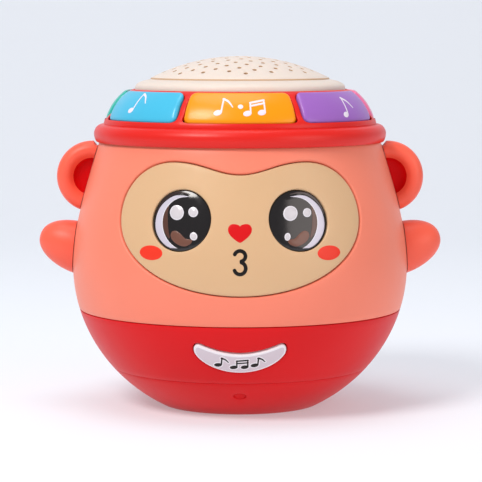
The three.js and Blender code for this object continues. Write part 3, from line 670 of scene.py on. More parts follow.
front_bowl = bowl_tangent(0.0)
rear_bowl = bowl_tangent(math.pi)


def band_at(arc, angle, rise):
    """A point of the key band: round from the front, and up its arc."""
    r = BAND_RADIUS + arc * math.cos(rise)
    s, c = math.sin(angle), math.cos(angle)
    inward = -Vector((math.cos(rise) * s, -math.cos(rise) * c, math.sin(rise)))
    return Vector((r * s, -r * c, BAND_Z + arc * math.sin(rise))), inward


def flared_arc(rise):
    """The band's arc, which grows towards its low edge, so that it meets the lip round the keys' feet."""
    share = min(max((FLARE_START - rise) / FLARE_ANGLE, 0), 1)
    return BAND_ARC + FLARE * share * share * (3 - 2 * share)


def band_surface(u, v):
    rise = v / BAND_ARC
    return band_at(flared_arc(rise), u / KEY_CIRCLE, rise)


def band_rise_at(radius):
    """How far up the band has a radius."""
    low, high = math.radians(5), math.radians(80)
    for _ in range(40):
        middle = (low + high) / 2
        if BAND_RADIUS + flared_arc(middle) * math.cos(middle) > radius:
            low = middle
        else:
            high = middle
    return low


KEY_LOW_RISE = math.acos((KEY_OUTER - BAND_RADIUS) / KEY_ARC)
KEY_HIGH_RISE = math.acos((KEY_INNER - BAND_RADIUS) / KEY_ARC)
KEY_MIDDLE = (KEY_LOW_RISE + KEY_HIGH_RISE) / 2
KEY_HALF_LENGTH = KEY_HALF_ANGLE * KEY_CIRCLE
KEY_HALF_HEIGHT = (KEY_HIGH_RISE - KEY_LOW_RISE) / 2 * KEY_ARC


def key_surface(turn):
    """A key's face. Its lower edge rounds in towards the arc's centre, its upper edge straight down."""

    def found(u, v):
        rise = KEY_MIDDLE + v / KEY_ARC
        point, inward = band_at(KEY_ARC, turn + u / KEY_CIRCLE, rise)
        share = min(max((rise - KEY_LOW_RISE) / (KEY_HIGH_RISE - KEY_LOW_RISE), 0), 1)
        return point, (inward * (1 - share) - UP * share).normalized()

    return found


def dome_surface(x, y):
    centre = Vector((0, 0, DOME_TOP - DOME_SPHERE))
    point = Vector((x, y, centre.z + math.sqrt(DOME_SPHERE**2 - x**2 - y**2)))
    return point, (centre - point).normalized()


# ---------------------------------------------------------------- materials


def linear(colour):
    """An sRGB colour of 0 to 255 as Blender's linear one."""
    return tuple(
        c / 12.92 if c <= 0.04045 else ((c + 0.055) / 1.055) ** 2.4 for c in (part / 255 for part in colour)
    )


def noise(tree, place, scale, detail=2.0, roughness=0.5):
    found = tree.nodes.new("ShaderNodeTexNoise")
    found.inputs["Scale"].default_value = scale
    found.inputs["Detail"].default_value = detail
    found.inputs["Roughness"].default_value = roughness
    tree.links.new(place.outputs["Object"], found.inputs["Vector"])
    return found


def moulded(name, colour, shade=0.93, roughness=(0.34, 0.44), grain=0.035, scale=1900.0, coat=0.0,
            subsurface=0.0, metallic=0.0, specular=0.3):
    """Moulded plastic, rubber or metal: clouded colour, uneven gloss and a fine surface grain.

    shade is how dark the clouds go, roughness is the gloss's range, and grain is the bump's depth in
    millimetres.
    """
    made = bpy.data.materials.new(name)
    made.use_nodes = True
    tree = made.node_tree
    shader = tree.nodes["Principled BSDF"]
    place = tree.nodes.new("ShaderNodeTexCoord")

    tone = tree.nodes.new("ShaderNodeMix")
    tone.data_type = "RGBA"
    base = linear(colour)
    tone.inputs[6].default_value = (*(part * shade for part in base), 1)
    tone.inputs[7].default_value = (*base, 1)
    clouds = noise(tree, place, 38.0, 3.0)
    tree.links.new(clouds.outputs["Fac"], tone.inputs[0])
    tree.links.new(tone.outputs[2], shader.inputs["Base Color"])

    gloss = tree.nodes.new("ShaderNodeMapRange")
    gloss.inputs["To Min"].default_value = roughness[0]
    gloss.inputs["To Max"].default_value = roughness[1]
    patches = noise(tree, place, 240.0, 4.0, 0.6)
    tree.links.new(patches.outputs["Fac"], gloss.inputs["Value"])
    tree.links.new(gloss.outputs["Result"], shader.inputs["Roughness"])

    bump = tree.nodes.new("ShaderNodeBump")
    bump.inputs["Strength"].default_value = 1.0
    bump.inputs["Distance"].default_value = grain * MM
    pits = noise(tree, place, scale, 2.0)
    tree.links.new(pits.outputs["Fac"], bump.inputs["Height"])
    tree.links.new(bump.outputs["Normal"], shader.inputs["Normal"])

    shader.inputs["Metallic"].default_value = metallic
    shader.inputs["Specular IOR Level"].default_value = specular
    shader.inputs["Coat Weight"].default_value = coat
    shader.inputs["Coat Roughness"].default_value = 0.12
    shader.inputs["Subsurface Weight"].default_value = subsurface
    shader.inputs["Subsurface Radius"].default_value = (1.0, 0.5, 0.35)
    shader.inputs["Subsurface Scale"].default_value = 0.002
    return made


GLASSY = {"roughness": (0.14, 0.2), "grain": 0.004, "coat": 0.6}
GLOSSY = {"roughness": (0.2, 0.28), "grain": 0.004, "coat": 0.3}
INK = {"shade": 0.95, "roughness": (0.32, 0.4), "grain": 0.01}
WAXY = {"shade": 0.96, "subsurface": 0.08}

CORAL = moulded("coral_plastic", (251, 138, 112), subsurface=0.05, specular=0.25)
EAR_CORAL = moulded("ear_coral_plastic", (253, 104, 80), subsurface=0.05)
EAR_RED = moulded("ear_dish_red_plastic", (214, 4, 10), roughness=(0.45, 0.55), specular=0.12)
BOWL_RED = moulded("bowl_red_plastic", (222, 12, 18), specular=0.22)
RIM_RED = moulded("rim_red_plastic", (228, 34, 26), roughness=(0.3, 0.4))
CREAM = moulded("cream_plastic", (228, 214, 203), roughness=(0.42, 0.52), **WAXY)
# Painted shade: a darker tan for the drum head's hole walls, rim edge and underside, standing in for the
# shadow in its holes.
HOLE_SHADE = moulded("hole_painted_shade", (206, 170, 136), shade=0.9, roughness=(0.5, 0.6))
SKIN = moulded("face_cream_plastic", (219, 179, 137), roughness=(0.34, 0.42), **WAXY)
KEY_COLOURS = {
    "orange": (255, 154, 0),
    "purple": (160, 104, 194),
    "pink": (240, 120, 165),
    "yellow": (250, 208, 36),
    "green": (96, 190, 84),
    "teal": (44, 182, 168),
    "blue": (70, 188, 226),
}
KEY_PLASTICS = {
    name: moulded(f"key_{name}_plastic", colour, 0.94, (0.26, 0.34), grain=0.015, coat=0.12)
    for name, colour in KEY_COLOURS.items()
}
PRINT = moulded("key_print_ink", (236, 228, 240), 0.96, (0.3, 0.38), grain=0.01)
INK_BLACK = moulded("black_print_ink", (22, 18, 18), 0.8, (0.28, 0.36), grain=0.01)
INK_RED = moulded("red_print_ink", (218, 8, 16), **INK)
INK_CHEEK = moulded("cheek_print_ink", (240, 54, 32), **INK)
EYE_WHITE = moulded("eye_white_gloss", (206, 200, 214), 0.95, **GLASSY)
EYE_BLACK = moulded("eye_black_gloss", (24, 19, 20), 0.8, **GLASSY)
EYE_BROWN = moulded("eye_brown_gloss", (92, 58, 48), 0.75, **GLASSY)
# A dark brown painted shade, for the band of shadow inside each eye's socket rim.
EYE_SHADE = moulded("eye_painted_shade_gloss", (52, 34, 31), 0.75, **GLASSY)
EYE_POOL = moulded("eye_pool_gloss", (122, 80, 66), 0.8, **GLOSSY)
# The painted highlights' colours: a slightly darker inside within a bright rim; the rim colour also edges
# the iris.
EYE_GLOW = moulded("eye_glow_gloss", (212, 206, 210), 0.95, **GLOSSY)
EYE_SHINE = moulded("eye_highlight_gloss", (232, 228, 234), 0.96, **GLASSY)
MUSIC_WHITE = moulded("music_key_white", (238, 234, 238), 0.97, (0.28, 0.36), grain=0.01)
MUSIC_LILAC = moulded("music_key_lilac", (216, 204, 211), 0.97, (0.3, 0.38), grain=0.01)
SILICONE = moulded("pad_silicone", (206, 204, 198), roughness=(0.5, 0.62), grain=0.02, subsurface=0.25)
STEEL = moulded("bright_steel", (196, 196, 200), 0.85, (0.2, 0.34), grain=0.006, metallic=1.0)
BOARD = moulded("circuit_board_green", (34, 92, 58), 0.7, (0.3, 0.42), grain=0.03, scale=900.0)
BLACK = moulded("black_plastic", (30, 30, 32), 0.8, (0.36, 0.5), grain=0.03)
CELL_SLEEVE = moulded("cell_sleeve", (58, 62, 70), 0.8, (0.24, 0.32), grain=0.01, coat=0.3)
CELL_BAND = moulded("cell_sleeve_band", (198, 138, 52), 0.85, (0.26, 0.34), grain=0.01, metallic=0.7)
PAPER = moulded("speaker_paper", (46, 42, 40), 0.7, (0.7, 0.85), grain=0.12, scale=1200.0)
LAMP = moulded("lamp_lens", (235, 240, 245), 0.9, (0.1, 0.18), grain=0.004, coat=0.5)


# ---------------------------------------------------------------- the casing

FACE_CURVES = (
    ((9, 97.6), (14.5, 102.2), (25.3, 102.2)),
    ((37.5, 102.2), (46.7, 91.5), (46.7, 78.9)),
    ((46.7, 62.5), (26, 51.5), (0, 51.5)),
    ((-26, 51.5), (-46.7, 62.5), (-46.7, 78.9)),
    ((-46.7, 91.5), (-37.5, 102.2), (-25.3, 102.2)),
    ((-14.5, 102.2), (-9, 97.6), (0, 97.6)),
)
FACE_OUTLINE = resampled(bezier_loop((0, 97.6), FACE_CURVES, 24), 1.4)
SMILE_CURVES = (
    ((-9, 3.6), (-4, 2.9), (0, 2.9)),
    ((4, 2.9), (9, 3.6), (15.3, 5.9)),
    ((17.6, 6.6), (18.6, 4.1), (17.4, 1.6)),
    ((14.6, -3.2), (7, -6.2), (0, -6.2)),
    ((-7, -6.2), (-14.6, -3.2), (-17.4, 1.6)),
    ((-18.6, 4.1), (-17.6, 6.6), (-15.3, 5.9)),
)
SMILE_OUTLINE = bezier_loop((-15.3, 5.9), SMILE_CURVES, 12)
WINDOW_SLACK = 0.35
DOOR_SLACK = 0.4
HALF_ROUND = BELLY_RADIUS * math.pi


def shell_outline():
    """The outline of a half of the casing, a hair short of the split."""
    half = HALF_ROUND / 2 - GAP / 2
    low = SHELL_SEAM_Z + GAP / 2
    return Edge(resampled([(-half, low), (half, low), (half, NECK_TOP), (-half, NECK_TOP)], 2.5))


def make_front_shell():
    mesh = Mesh()
    window = Edge(casing_loop(grow(FACE_OUTLINE, WINDOW_SLACK), FRONT), SOFT_EDGE)
    panel(mesh, front_casing, WALL, shell_outline(), [window])
    piece(mesh, "front_shell_look", [CORAL], "casing", ["front_shell"])


def door_outline():
    return rounded_rectangle(-DOOR_HALF_WIDTH, DOOR_HALF_WIDTH, DOOR_LOW, DOOR_HIGH, DOOR_CORNER)


def rear_well(x, z, radius, count, floor_y):
    """A screw well that runs straight in from behind, down to a floor."""
    loop = casing_loop(circle(x, z, radius, count), REAR)
    floor = lambda point: Vector((point.x, floor_y, point.z))
    return Edge(loop, along=Vector((0, -1, 0)), back=floor, blind=True)


def make_rear_shell():
    mesh = Mesh()
    holes = [Edge(casing_loop(grow(door_outline(), DOOR_SLACK), REAR))]
    holes += [rear_well(x, z, SCREW_WELL, 32, SHELL_WELL_FLOOR) for x, z in SHELL_SCREWS.values()]
    panel(mesh, rear_casing, WALL, shell_outline(), holes)
    piece(mesh, "rear_shell_look", [CORAL], "casing", ["rear_shell"])


def round_uv(tangent, x, y):
    """A spot of a tangent frame as the whole casing's own coordinates, from the front."""
    point = tangent.spot(x, y)
    return BELLY_RADIUS * math.atan2(point.x, -point.y), point.z


def make_lower_shell():
    mesh = Mesh()
    low, high = BASE_SEAM_Z + BASE_SEAM_GAP / 2, SHELL_SEAM_Z - GAP / 2
    shell = ring_edge(HALF_ROUND, low, high, 2.2, HALF_ROUND / 2, TIGHT_EDGE)
    smile = Edge([round_uv(front_bowl, x, y) for x, y in grow(SMILE_OUTLINE, WINDOW_SLACK)], SOFT_EDGE)
    slot = [round_uv(rear_bowl, x, y) for x, y in rounded_rectangle(-6, 6, -2.7, 2.7, 1.6, 1.2)]
    slot = Edge([(u % (2 * HALF_ROUND), v) for u, v in slot])
    panel(mesh, front_casing, WALL, shell, [smile, slot], spacing=2.2)
    piece(mesh, "lower_shell_look", [BOWL_RED], "casing", ["lower_shell"])


def height_at(radius):
    """Where the bowl has a radius."""
    return BELLY_Z - BOWL_DROP * math.sqrt(1 - (radius / BELLY_RADIUS) ** 2)


def base_well(angle):
    """A screw well that runs straight up into the base."""
    loop = []
    for x, y in circle(*on_circle(BASE_SCREW_CIRCLE, angle), SCREW_WELL, 32):
        around = math.atan2(x, -y) % (2 * math.pi)
        loop.append((BELLY_RADIUS * around, height_at(math.hypot(x, y))))
    floor = lambda point: Vector((point.x, point.y, BASE_WELL_FLOOR))
    return Edge(loop, WELL_EDGE, along=UP, back=floor, blind=True)


def notch_floor(start):
    """The thumb notch's floor: deep under its top edge, and running out at its lower one."""
    share = (start.z - NOTCH_Z + NOTCH_HALF_HEIGHT) / (2 * NOTCH_HALF_HEIGHT)
    _, inward = casing_at(0.0, start.z)
    return start + inward * NOTCH_DEPTH * max(share, 0.05)


def make_base_cover():
    mesh = Mesh()
    foot_z = height_at(FOOT_RADIUS) + FOOT_LIFT
    seam = BASE_SEAM_Z - BASE_SEAM_GAP / 2
    clear_of_holes = HALF_ROUND + BELLY_RADIUS * math.radians(20)
    shell = ring_edge(HALF_ROUND, foot_z, seam, 1.6, clear_of_holes, TIGHT_EDGE)
    notch = ellipse(2 * HALF_ROUND, NOTCH_Z, NOTCH_HALF_WIDTH, NOTCH_HALF_HEIGHT, count=40)
    holes = [base_well(angle) for angle in BASE_SCREW_ANGLES]
    holes.append(Edge(notch, NOTCH_EDGE, back=notch_floor, blind=True))
    panel(mesh, front_casing, WALL, shell, holes, spacing=2.0, back_spacing=4.0)
    sole = [(0, 0.6), (SOLE_RADIUS - 0.8, 0.6), (SOLE_RADIUS - 0.3, 0.45), (SOLE_RADIUS, 0.0)]
    rim = [(FOOT_RADIUS - 0.6, 0.0), (FOOT_RADIUS, foot_z), (FOOT_RADIUS - 1, WALL), (0, WALL)]
    lathe(mesh, [*sole, *rim])
    piece(mesh, "base_cover_look", [BOWL_RED], "casing", ["base_cover"])


# ---------------------------------------------------------------- the face


def eye_tangent(side):
    return Tangent(*front_at(side * EYE_X, EYE_Z))


def make_face_plate():
    mesh = Mesh()
    sockets = []
    for side in SIDES.values():
        tangent = eye_tangent(side)
        spots = [tangent.spot(x, y) for x, y in circle(0, 0, EYE_RADIUS + GAP, 96)]
        sockets.append(Edge([(spot.x, spot.z) for spot in spots], SOCKET_EDGE, along=-tangent.out))
    panel(mesh, front_at, WALL, Edge(FACE_OUTLINE, SOFT_EDGE), sockets, spacing=2.0)
    piece(mesh, "face_plate_look", [SKIN], "casing", ["face_plate"])


def inlay(mesh, loop, surface, lift, slot=0, spacing=1.5):
    """A thin print or inlaid patch, whose top stands a hair above the surface."""
    edge = Edge(resampled(loop, 0.7), ((0, lift * 0.9), (0.03, lift * 0.3), (0.08, 0)))
    panel(mesh, raised(surface, lift), lift + 0.02, edge, spacing=spacing, slot=slot)


# Eye art, in millimetres across and up from the eye's middle, drawn for the left eye and mirrored
# for the right one, with a painted shade band under the socket's rim and painted highlights.
EYE_LEAN = 0.093  # how far the art leans, so that it stands upright seen from the front
IRIS = (1.98, -1.12, 9.9, 10.35)  # centre and half sizes
SCLERA_OUTSIDE = (
    (3.7, 9.35), (0.3, 9.8), (-3.2, 9.4), (-7.1, 6.9), (-9.6, 3.7),
    (-10.8, -0.3), (-10.6, -4.0), (-9.1, -7.2), (-6.7, -9.6), (-4.4, -10.7),
)
# Painted shade: a dark band just inside the eye's upper rim, where the socket's rim casts its shadow.
SOCKET_RIM_SHADE = ((-10.7, 2.4), (-9.3, 5.4), (-6.8, 8.3), (-3.4, 10.3), (0.3, 10.9), (3.6, 10.3))
BROWN_BAND = ((-5.2, 5.4), (-6.3, 3.0), (-6.6, 0.2), (-6.5, -2.6), (-5.8, -5.0), (-4.9, -6.8))
BROWN_POOL = (
    (-4.2, -5.0), (-3.4, -4.2), (-1.9, -4.1), (-0.3, -5.0), (1.6, -6.8), (3.0, -7.1),
    (4.5, -7.4), (3.7, -8.9), (1.4, -9.9), (-1.2, -9.4), (-3.4, -7.9), (-4.3, -6.2),
)
# Painted highlights: reflections of the lamps, given for each eye on its own.
EYE_HIGHLIGHTS = {
    "left": ((-1.7, 3.05, 2.9, 2.9), (5.0, 3.45, 1.95, 1.95), (5.1, -5.9, 1.5, 1.55)),
    "right": ((3.5, 2.9, 2.9, 2.9), (-3.4, 3.0, 1.75, 1.75), (4.6, -6.1, 1.2, 1.5)),
}
HIGHLIGHT_RIM = 0.34
EYE_MATERIALS = [EYE_BLACK, EYE_WHITE, EYE_BROWN, EYE_SHADE, EYE_POOL, EYE_SHINE, EYE_GLOW]


def swelling(line, least, most):
    """The outline of a stroke that swells in the middle."""
    last = len(line) - 1
    return ribbon(line, [least + (most - least) * math.sin(math.pi * i / last) for i in range(last + 1)])


def make_eye(name, side):
    face = eye_tangent(side).surface(-EYE_SUNK)
    mesh = Mesh()
    panel(mesh, face, 1.2, Edge(circle(0, 0, EYE_RADIUS, 96), SMALL_EDGE))

    def patch(loop, lift, material):
        placed = [(side * (EYE_LEAN * y - x), y) for x, y in loop]
        inlay(mesh, placed, face, lift, EYE_MATERIALS.index(material))

    border = arc_line(*IRIS, 248, 88, 40)
    patch([*border, *smooth_line(SCLERA_OUTSIDE)], 0.04, EYE_WHITE)
    patch(swelling(border, 0.12, 0.42), 0.06, EYE_SHINE)
    # The painted shade band under the socket's rim.
    patch(swelling(smooth_line(SOCKET_RIM_SHADE), 0.25, 1.15), 0.05, EYE_SHADE)
    patch(swelling(smooth_line(BROWN_BAND), 0.5, 2.3), 0.05, EYE_BROWN)
    patch(smooth_line([*BROWN_POOL, BROWN_POOL[0]], 5)[:-1], 0.055, EYE_POOL)
    # Painted highlights, each a pale disc within a brighter rim.
    for x, y, rx, ry in EYE_HIGHLIGHTS[name]:
        patch(ellipse(x, y, rx, ry), 0.08, EYE_SHINE)
        patch(ellipse(x, y, rx - HIGHLIGHT_RIM, ry - HIGHLIGHT_RIM), 0.1, EYE_GLOW)
    piece(mesh, f"eye_{name}_look", EYE_MATERIALS, "casing", [f"eye_{name}"])


HEART_CURVES = (
    ((0.5, 3.25), (1.5, 3.5), (2.5, 3.5)),
    ((3.8, 3.5), (4.56, 2.5), (4.56, 1.25)),
    ((4.56, -0.6), (2.2, -2.3), (0.7, -3.3)),
    ((0.25, -3.6), (-0.25, -3.6), (-0.7, -3.3)),
    ((-2.2, -2.3), (-4.56, -0.6), (-4.56, 1.25)),
    ((-4.56, 2.5), (-3.8, 3.5), (-2.5, 3.5)),
    ((-1.5, 3.5), (-0.5, 3.25), (0, 2.65)),
)


def make_face_prints():
    nose = Mesh()
    heart = [(x, NOSE_Z + z) for x, z in bezier_loop((0, 2.65), HEART_CURVES, 8)]
    inlay(nose, heart, front_at, PRINT_LIFT)
    piece(nose, "nose_print", [INK_RED], "casing")
    mouth = Mesh()
    for i, lip in enumerate((arc_line(0, 67.1, 2.1, 2.0, 160, -75), arc_line(0, 62.5, 2.2, 2.3, 75, -160))):
        inlay(mouth, ribbon(lip, MOUTH_STROKE), front_at, PRINT_LIFT + 0.004 * i)
    piece(mouth, "mouth_print", [INK_BLACK], "casing")
    for name, side in SIDES.items():
        cheek = Mesh()
        x, z, rx, rz = CHEEK
        inlay(cheek, ellipse(side * x, z, rx, rz), front_at, PRINT_LIFT)
        piece(cheek, f"cheek_{name}_print", [INK_CHEEK], "casing")


# ---------------------------------------------------------------- ears and arms

EAR_PROFILE = (
    (0, -3.6), (8, -3.6), (11.6, -3.1), (13.9, -1.6), (14.6, 0.7), (13.9, 3.3),
    (12.3, 4.7), (10.8, 5.05), (9.2, 4.5), (7.9, 3.0), (6.9, 1.6), (5.4, 0.95), (0, 0.8),
)
LIP_ROOM = ((0, 105.8), (59, 105.8), (60.4, 108.0), (60.6, 112), (0, 112))


def casing_cutter():
    """What ears and arms are cut back by: the casing, a gap outside it, and the lip above."""
    profile = [(0, 0.5)]
    steps = 60
    for i in range(steps + 1):
        z = 0.5 + (NECK_TOP - 0.5) * i / steps
        slope = body_slope(z)
        unit = 1 / math.hypot(1, slope)
        profile.append((body_radius(z) + GAP * unit, z - GAP * slope * unit))
    profile.append((0, profile[-1][1]))
    mesh = Mesh()
    lathe(mesh, profile)
    lathe(mesh, LIP_ROOM)
    return to_object(mesh, "cutter", [])


def cut_back(obj):
    """Cuts the casing's room off a piece, for a crisp line where they meet."""
    cutter = casing_cutter()
    modifier = obj.modifiers.new("cut", "BOOLEAN")
    modifier.operation = "DIFFERENCE"
    modifier.solver = "EXACT"
    modifier.use_self = True
    modifier.object = cutter
    seen = obj.evaluated_get(bpy.context.evaluated_depsgraph_get())
    data = bpy.data.meshes.new_from_object(seen)
    obj.modifiers.remove(modifier)
    obj.data = data
    data.set_sharp_from_angle(angle=math.radians(45))
    bpy.data.objects.remove(cutter)


def make_ear(name, side):
    """A ring-shaped ear that faces forward, with a dish of its own colour."""
    mesh = Mesh()
    profile = smooth_line(EAR_PROFILE[1:-1], 5)
    split = next(i for i, (r, h) in enumerate(profile) if h > 2 and r < EAR_DISH_RADIUS) + 1
    place = standing(side * EAR_X, EAR_Y, EAR_Z) @ Matrix.Rotation(math.pi / 2, 4, "X")
    rows = spun(profile, 96, place)
    mesh.strip(rows[:split], 0)
    mesh.strip(rows[split - 1 :], 1)
    mesh.fan(rows[0], place @ Vector((0, 0, EAR_PROFILE[0][1])), 0)
    mesh.fan(rows[-1], place @ Vector((0, 0, EAR_PROFILE[-1][1])), 1)
    cut_back(piece(mesh, f"ear_{name}_look", [EAR_CORAL, EAR_RED], "casing", [f"ear_{name}"], 60))


def make_arm(name, side):
    """A stubby arm: an egg that narrows towards its rounded tip."""
    mesh = Mesh()
    count, rows = 64, 40
    place = standing(ARM_X * side, ARM_Y, ARM_Z) @ Matrix.Rotation(-side * ARM_LIFT, 4, "Y")
    lines = []
    for j in range(1, rows):
        t = math.pi * j / rows
        spread = math.sin(t) ** 0.9 * (1.0 - 0.06 * math.cos(t))
        section = ellipse(0, 0, ARM_HALF_DEPTH * spread, ARM_HALF_HEIGHT * spread, count=count)
        lines.append([place @ Vector((side * ARM_HALF_LENGTH * math.cos(t), y, z)) for y, z in section])
    mesh.strip(lines)
    mesh.fan(lines[0], place @ Vector((side * ARM_HALF_LENGTH, 0, 0)))
    mesh.fan(lines[-1], place @ Vector((-side * ARM_HALF_LENGTH, 0, 0)))
    cut_back(piece(mesh, f"arm_{name}_look", [EAR_CORAL], "casing", [f"arm_{name}"], 60))


# ---------------------------------------------------------------- the key band

LIP_PROFILE = (
    (55.3, 114.9), (56.4, 114.45), (57.3, 114.5), (58.5, 113.7), (59.4, 112.2),
    (59.6, 110.6), (59.3, 109.0), (58.7, 107.8), (58.2, 107.6),
)
COLLAR_PROFILE = ((58.2, 108.6), (54, 108.6), (54, 103.6), (52.6, 103.6), (52.6, 112.6))
GUIDE_PROFILE = (
    (HEAD_OPENING, 128.9), (HEAD_OPENING, 124.8), (45.1, 124.8), (45.1, 127.6), (44.3, 128.6),
)
KEY_STEM = ((0, 110.5), (1.9, 110.5), (2.2, 110.8), (2.2, 114.5), (0, 114.5))


def key_outline():
    x, y = KEY_HALF_LENGTH, KEY_HALF_HEIGHT
    return rounded_rectangle(-x, x, -y, y, KEY_CORNER, 1.2)


def key_turn(i):
    return 2 * math.pi * i / KEY_COUNT


def under_key(i, z=0.0):
    """The place of a key's stem, and of the pad below it."""
    turn = key_turn(i)
    return standing(KEY_STEM_RADIUS * math.sin(turn), -KEY_STEM_RADIUS * math.cos(turn), z)


def make_rim():
    mesh = Mesh()
    windows = []
    for i in range(KEY_COUNT):
        loop = []
        for x, y in key_outline():
            radius = BAND_RADIUS + KEY_ARC * math.cos(KEY_MIDDLE + y / KEY_ARC)
            loop.append((key_turn(i) * KEY_CIRCLE + x, BAND_ARC * band_rise_at(radius)))
        windows.append(Edge(grow(loop, KEY_SLACK), WINDOW_EDGE, along=-UP))
    top = band_rise_at(HEAD_OPENING + 0.6) * BAND_ARC
    half = math.pi * KEY_CIRCLE
    between_windows = half * (1 - 1 / KEY_COUNT)
    band = ring_edge(half, BAND_LOW_RISE * BAND_ARC, top, 1.8, between_windows)
    panel(mesh, band_surface, 2.0, band, windows, spacing=2.0)
    lathe(mesh, [*smooth_line(LIP_PROFILE), *COLLAR_PROFILE])
    lathe(mesh, GUIDE_PROFILE)
    piece(mesh, "rim_ring_look", [RIM_RED], "casing", ["rim_ring"])


NOTE_STROKE = 0.62


def note_head(x, y):
    return ellipse(x, y, 1.55, 1.15, math.radians(18), 28)


def note(x, y, stem_x, top, flag):
    """A single quaver: its head, its stem and its flag."""
    bend = (stem_x + 0.55 * (flag[0] - stem_x), top - 0.35 * (top - flag[1]))
    tail = smooth_line([(stem_x, top), bend, flag])
    widths = [1.15 - 0.75 * i / (len(tail) - 1) for i in range(len(tail))]
    stem = [(x + 1.25, y + 0.3), (stem_x, top)]
    return [note_head(x, y), ribbon(stem, NOTE_STROKE), ribbon(tail, widths)]


def beamed_notes(x, y, apart, tall, slope):
    """A pair of notes under two beams."""
    a, b = x + 1.2, x + apart + 1.2
    low_a, low_b = y, y + slope * 0.3
    top_a, top_b = y + tall, y + tall + slope
    return [
        note_head(x, low_a),
        note_head(x + apart, low_b),
        ribbon([(a, low_a), (a, top_a)], NOTE_STROKE),
        ribbon([(b, low_b), (b, top_b)], NOTE_STROKE),
        ribbon([(a, top_a), (b, top_b)], 0.95),
        ribbon([(a, top_a - 1.5), (b, top_b - 1.5)], 0.85),
    ]


QUAVER = note(-2.2, -3.2, -0.4, 3.4, (3.2, -0.8))
KEY_PRINTS = {
    "orange": [
        *note(-8.1, -3.1, -6.3, 3.3, (-2.7, -0.6)),
        circle(0.2, -0.4, 1.0, 28),
        *beamed_notes(2.7, -3.4, 5.3, 4.8, 1.3),
    ],
    "purple": note(-0.4, -4.6, 1.6, 3.1, (6.0, -1.8)),
    "pink": QUAVER,
    "yellow": [*note(-6.4, -3.1, -4.6, 3.3, (-1.0, -0.6)), *note(3.0, -3.1, 4.8, 3.3, (8.4, -0.6))],
    "green": beamed_notes(-3.6, -3.0, 5.3, 5.0, 1.0),
    "teal": QUAVER,
    "blue": note(-2.6, -2.9, -0.6, 5.4, (4.2, 0.6)),
}
MUSIC_KEY_PRINT = [
    *note(-8.4, -1.6, -6.9, 2.6, (-4.4, 0.2)),
    *beamed_notes(-2.4, -2.7, 4.2, 3.9, 0.45),
    *note(5.6, -1.6, 7.1, 2.6, (9.6, 0.2)),
]


def make_key(i, name):
    """A puffy key, its stem, and the notes printed on it."""
    mesh = Mesh()
    surface = key_surface(key_turn(i))
    floor = lambda point: Vector((point.x, point.y, KEY_FLOOR))
    panel(mesh, surface, 1.0, Edge(key_outline(), PUFFY_EDGE, back=floor), spacing=1.5, back_spacing=3.0)
    lathe(mesh, KEY_STEM, 24, under_key(i))
    piece(mesh, f"key_{name}_look", [KEY_PLASTICS[name]], f"key_{name}", [f"key_{name}"])
    ink = Mesh()
    for k, loop in enumerate(KEY_PRINTS[name]):
        inlay(ink, loop, surface, 0.04 + 0.004 * k, spacing=0.9)
    piece(ink, f"key_{name}_print", [PRINT], f"key_{name}")


def make_pad(node, place):
    """A silicone dome under its key."""
    mesh = Mesh()
    top = PAD_HEIGHT
    foot = [(0, 0.0), (3.5, 0.0), (3.6, 0.1), (3.6, 0.7), (3.5, 0.8)]
    wall = smooth_line([(3.1, 0.9), (2.8, 1.4), (2.45, 3.0), (2.3, top - 0.35), (2.0, top)], 4)
    lathe(mesh, [*foot, *wall, (1.0, top), (0.8, top - 0.15), (0, top - 0.15)], 40, place)
    made = piece(mesh, f"{node}_look", [SILICONE], "casing", [node])
    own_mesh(made)


def make_keys():
    for i, name in enumerate(KEY_NAMES):
        make_key(i, name)
    for i, name in enumerate(KEY_NAMES):
        make_pad(f"key_pad_{name}", under_key(i, KEY_PAD_Z))


# ---------------------------------------------------------------- the drum head

FLANGE_TOP = ((36.4, 133.0), (37.4, 132.7), (39.4, 132.3), (41.2, 131.6), (42.4, 130.7), (42.9, 129.6))
FLANGE_REST = ((42.9, 124.4), (44.6, 124.4), (44.6, 122.8), (41.1, 122.8), (41.1, 129.2), (36.0, 131.0))


def make_drum_head():
    """A dome full of small holes, spread as a sunflower's seeds are."""
    mesh = Mesh()
    golden = math.pi * (3 - math.sqrt(5))
    holes = []
    for i in range(HOLE_COUNT):
        r = HOLE_SPREAD * math.sqrt((i + 0.6) / HOLE_COUNT)
        spot = circle(r * math.sin(golden * i), r * math.cos(golden * i), HOLE_RADIUS, 14)
        holes.append(Edge(spot, HOLE_EDGE))
    rim = Edge(circle(0, 0, DOME_EDGE, ROUND), DOME_EDGING)
    # The hole walls, rim edge and underside take the painted shade colour.
    panel(mesh, dome_surface, 2.0, rim, holes, spacing=2.0, edge_slot=1)
    lathe(mesh, [*smooth_line(FLANGE_TOP, 5), *FLANGE_REST])
    piece(mesh, "drum_head_look", [CREAM, HOLE_SHADE], "drum_head", ["drum_head"])


def make_springs():
    """Springs with flat ends."""
    for i, angle in enumerate(SPRING_ANGLES, 1):
        x, y = on_circle(SPRING_CIRCLE, angle)
        line = []
        for a, b, share in coil(SPRING_RADIUS, SPRING_RADIUS, SPRING_TURNS, 180):
            climb = min(max((share - 0.08) / 0.84, 0), 1)
            line.append(Vector((x + a, y + b, SPRING_SEAT + SPRING_WIRE + 0.1 + SPRING_RISE * climb)))
        mesh = Mesh()
        tube(mesh, line, SPRING_WIRE)
        made = piece(mesh, f"drum_spring_{i}_look", [STEEL], "casing", [f"drum_spring_{i}"], 60)
        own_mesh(made)


# ---------------------------------------------------------------- controls on the bowl

MUSIC_STEM = ((0, -6.3), (2.1, -6.3), (2.4, -6.0), (2.4, -1.5), (0, -1.5))


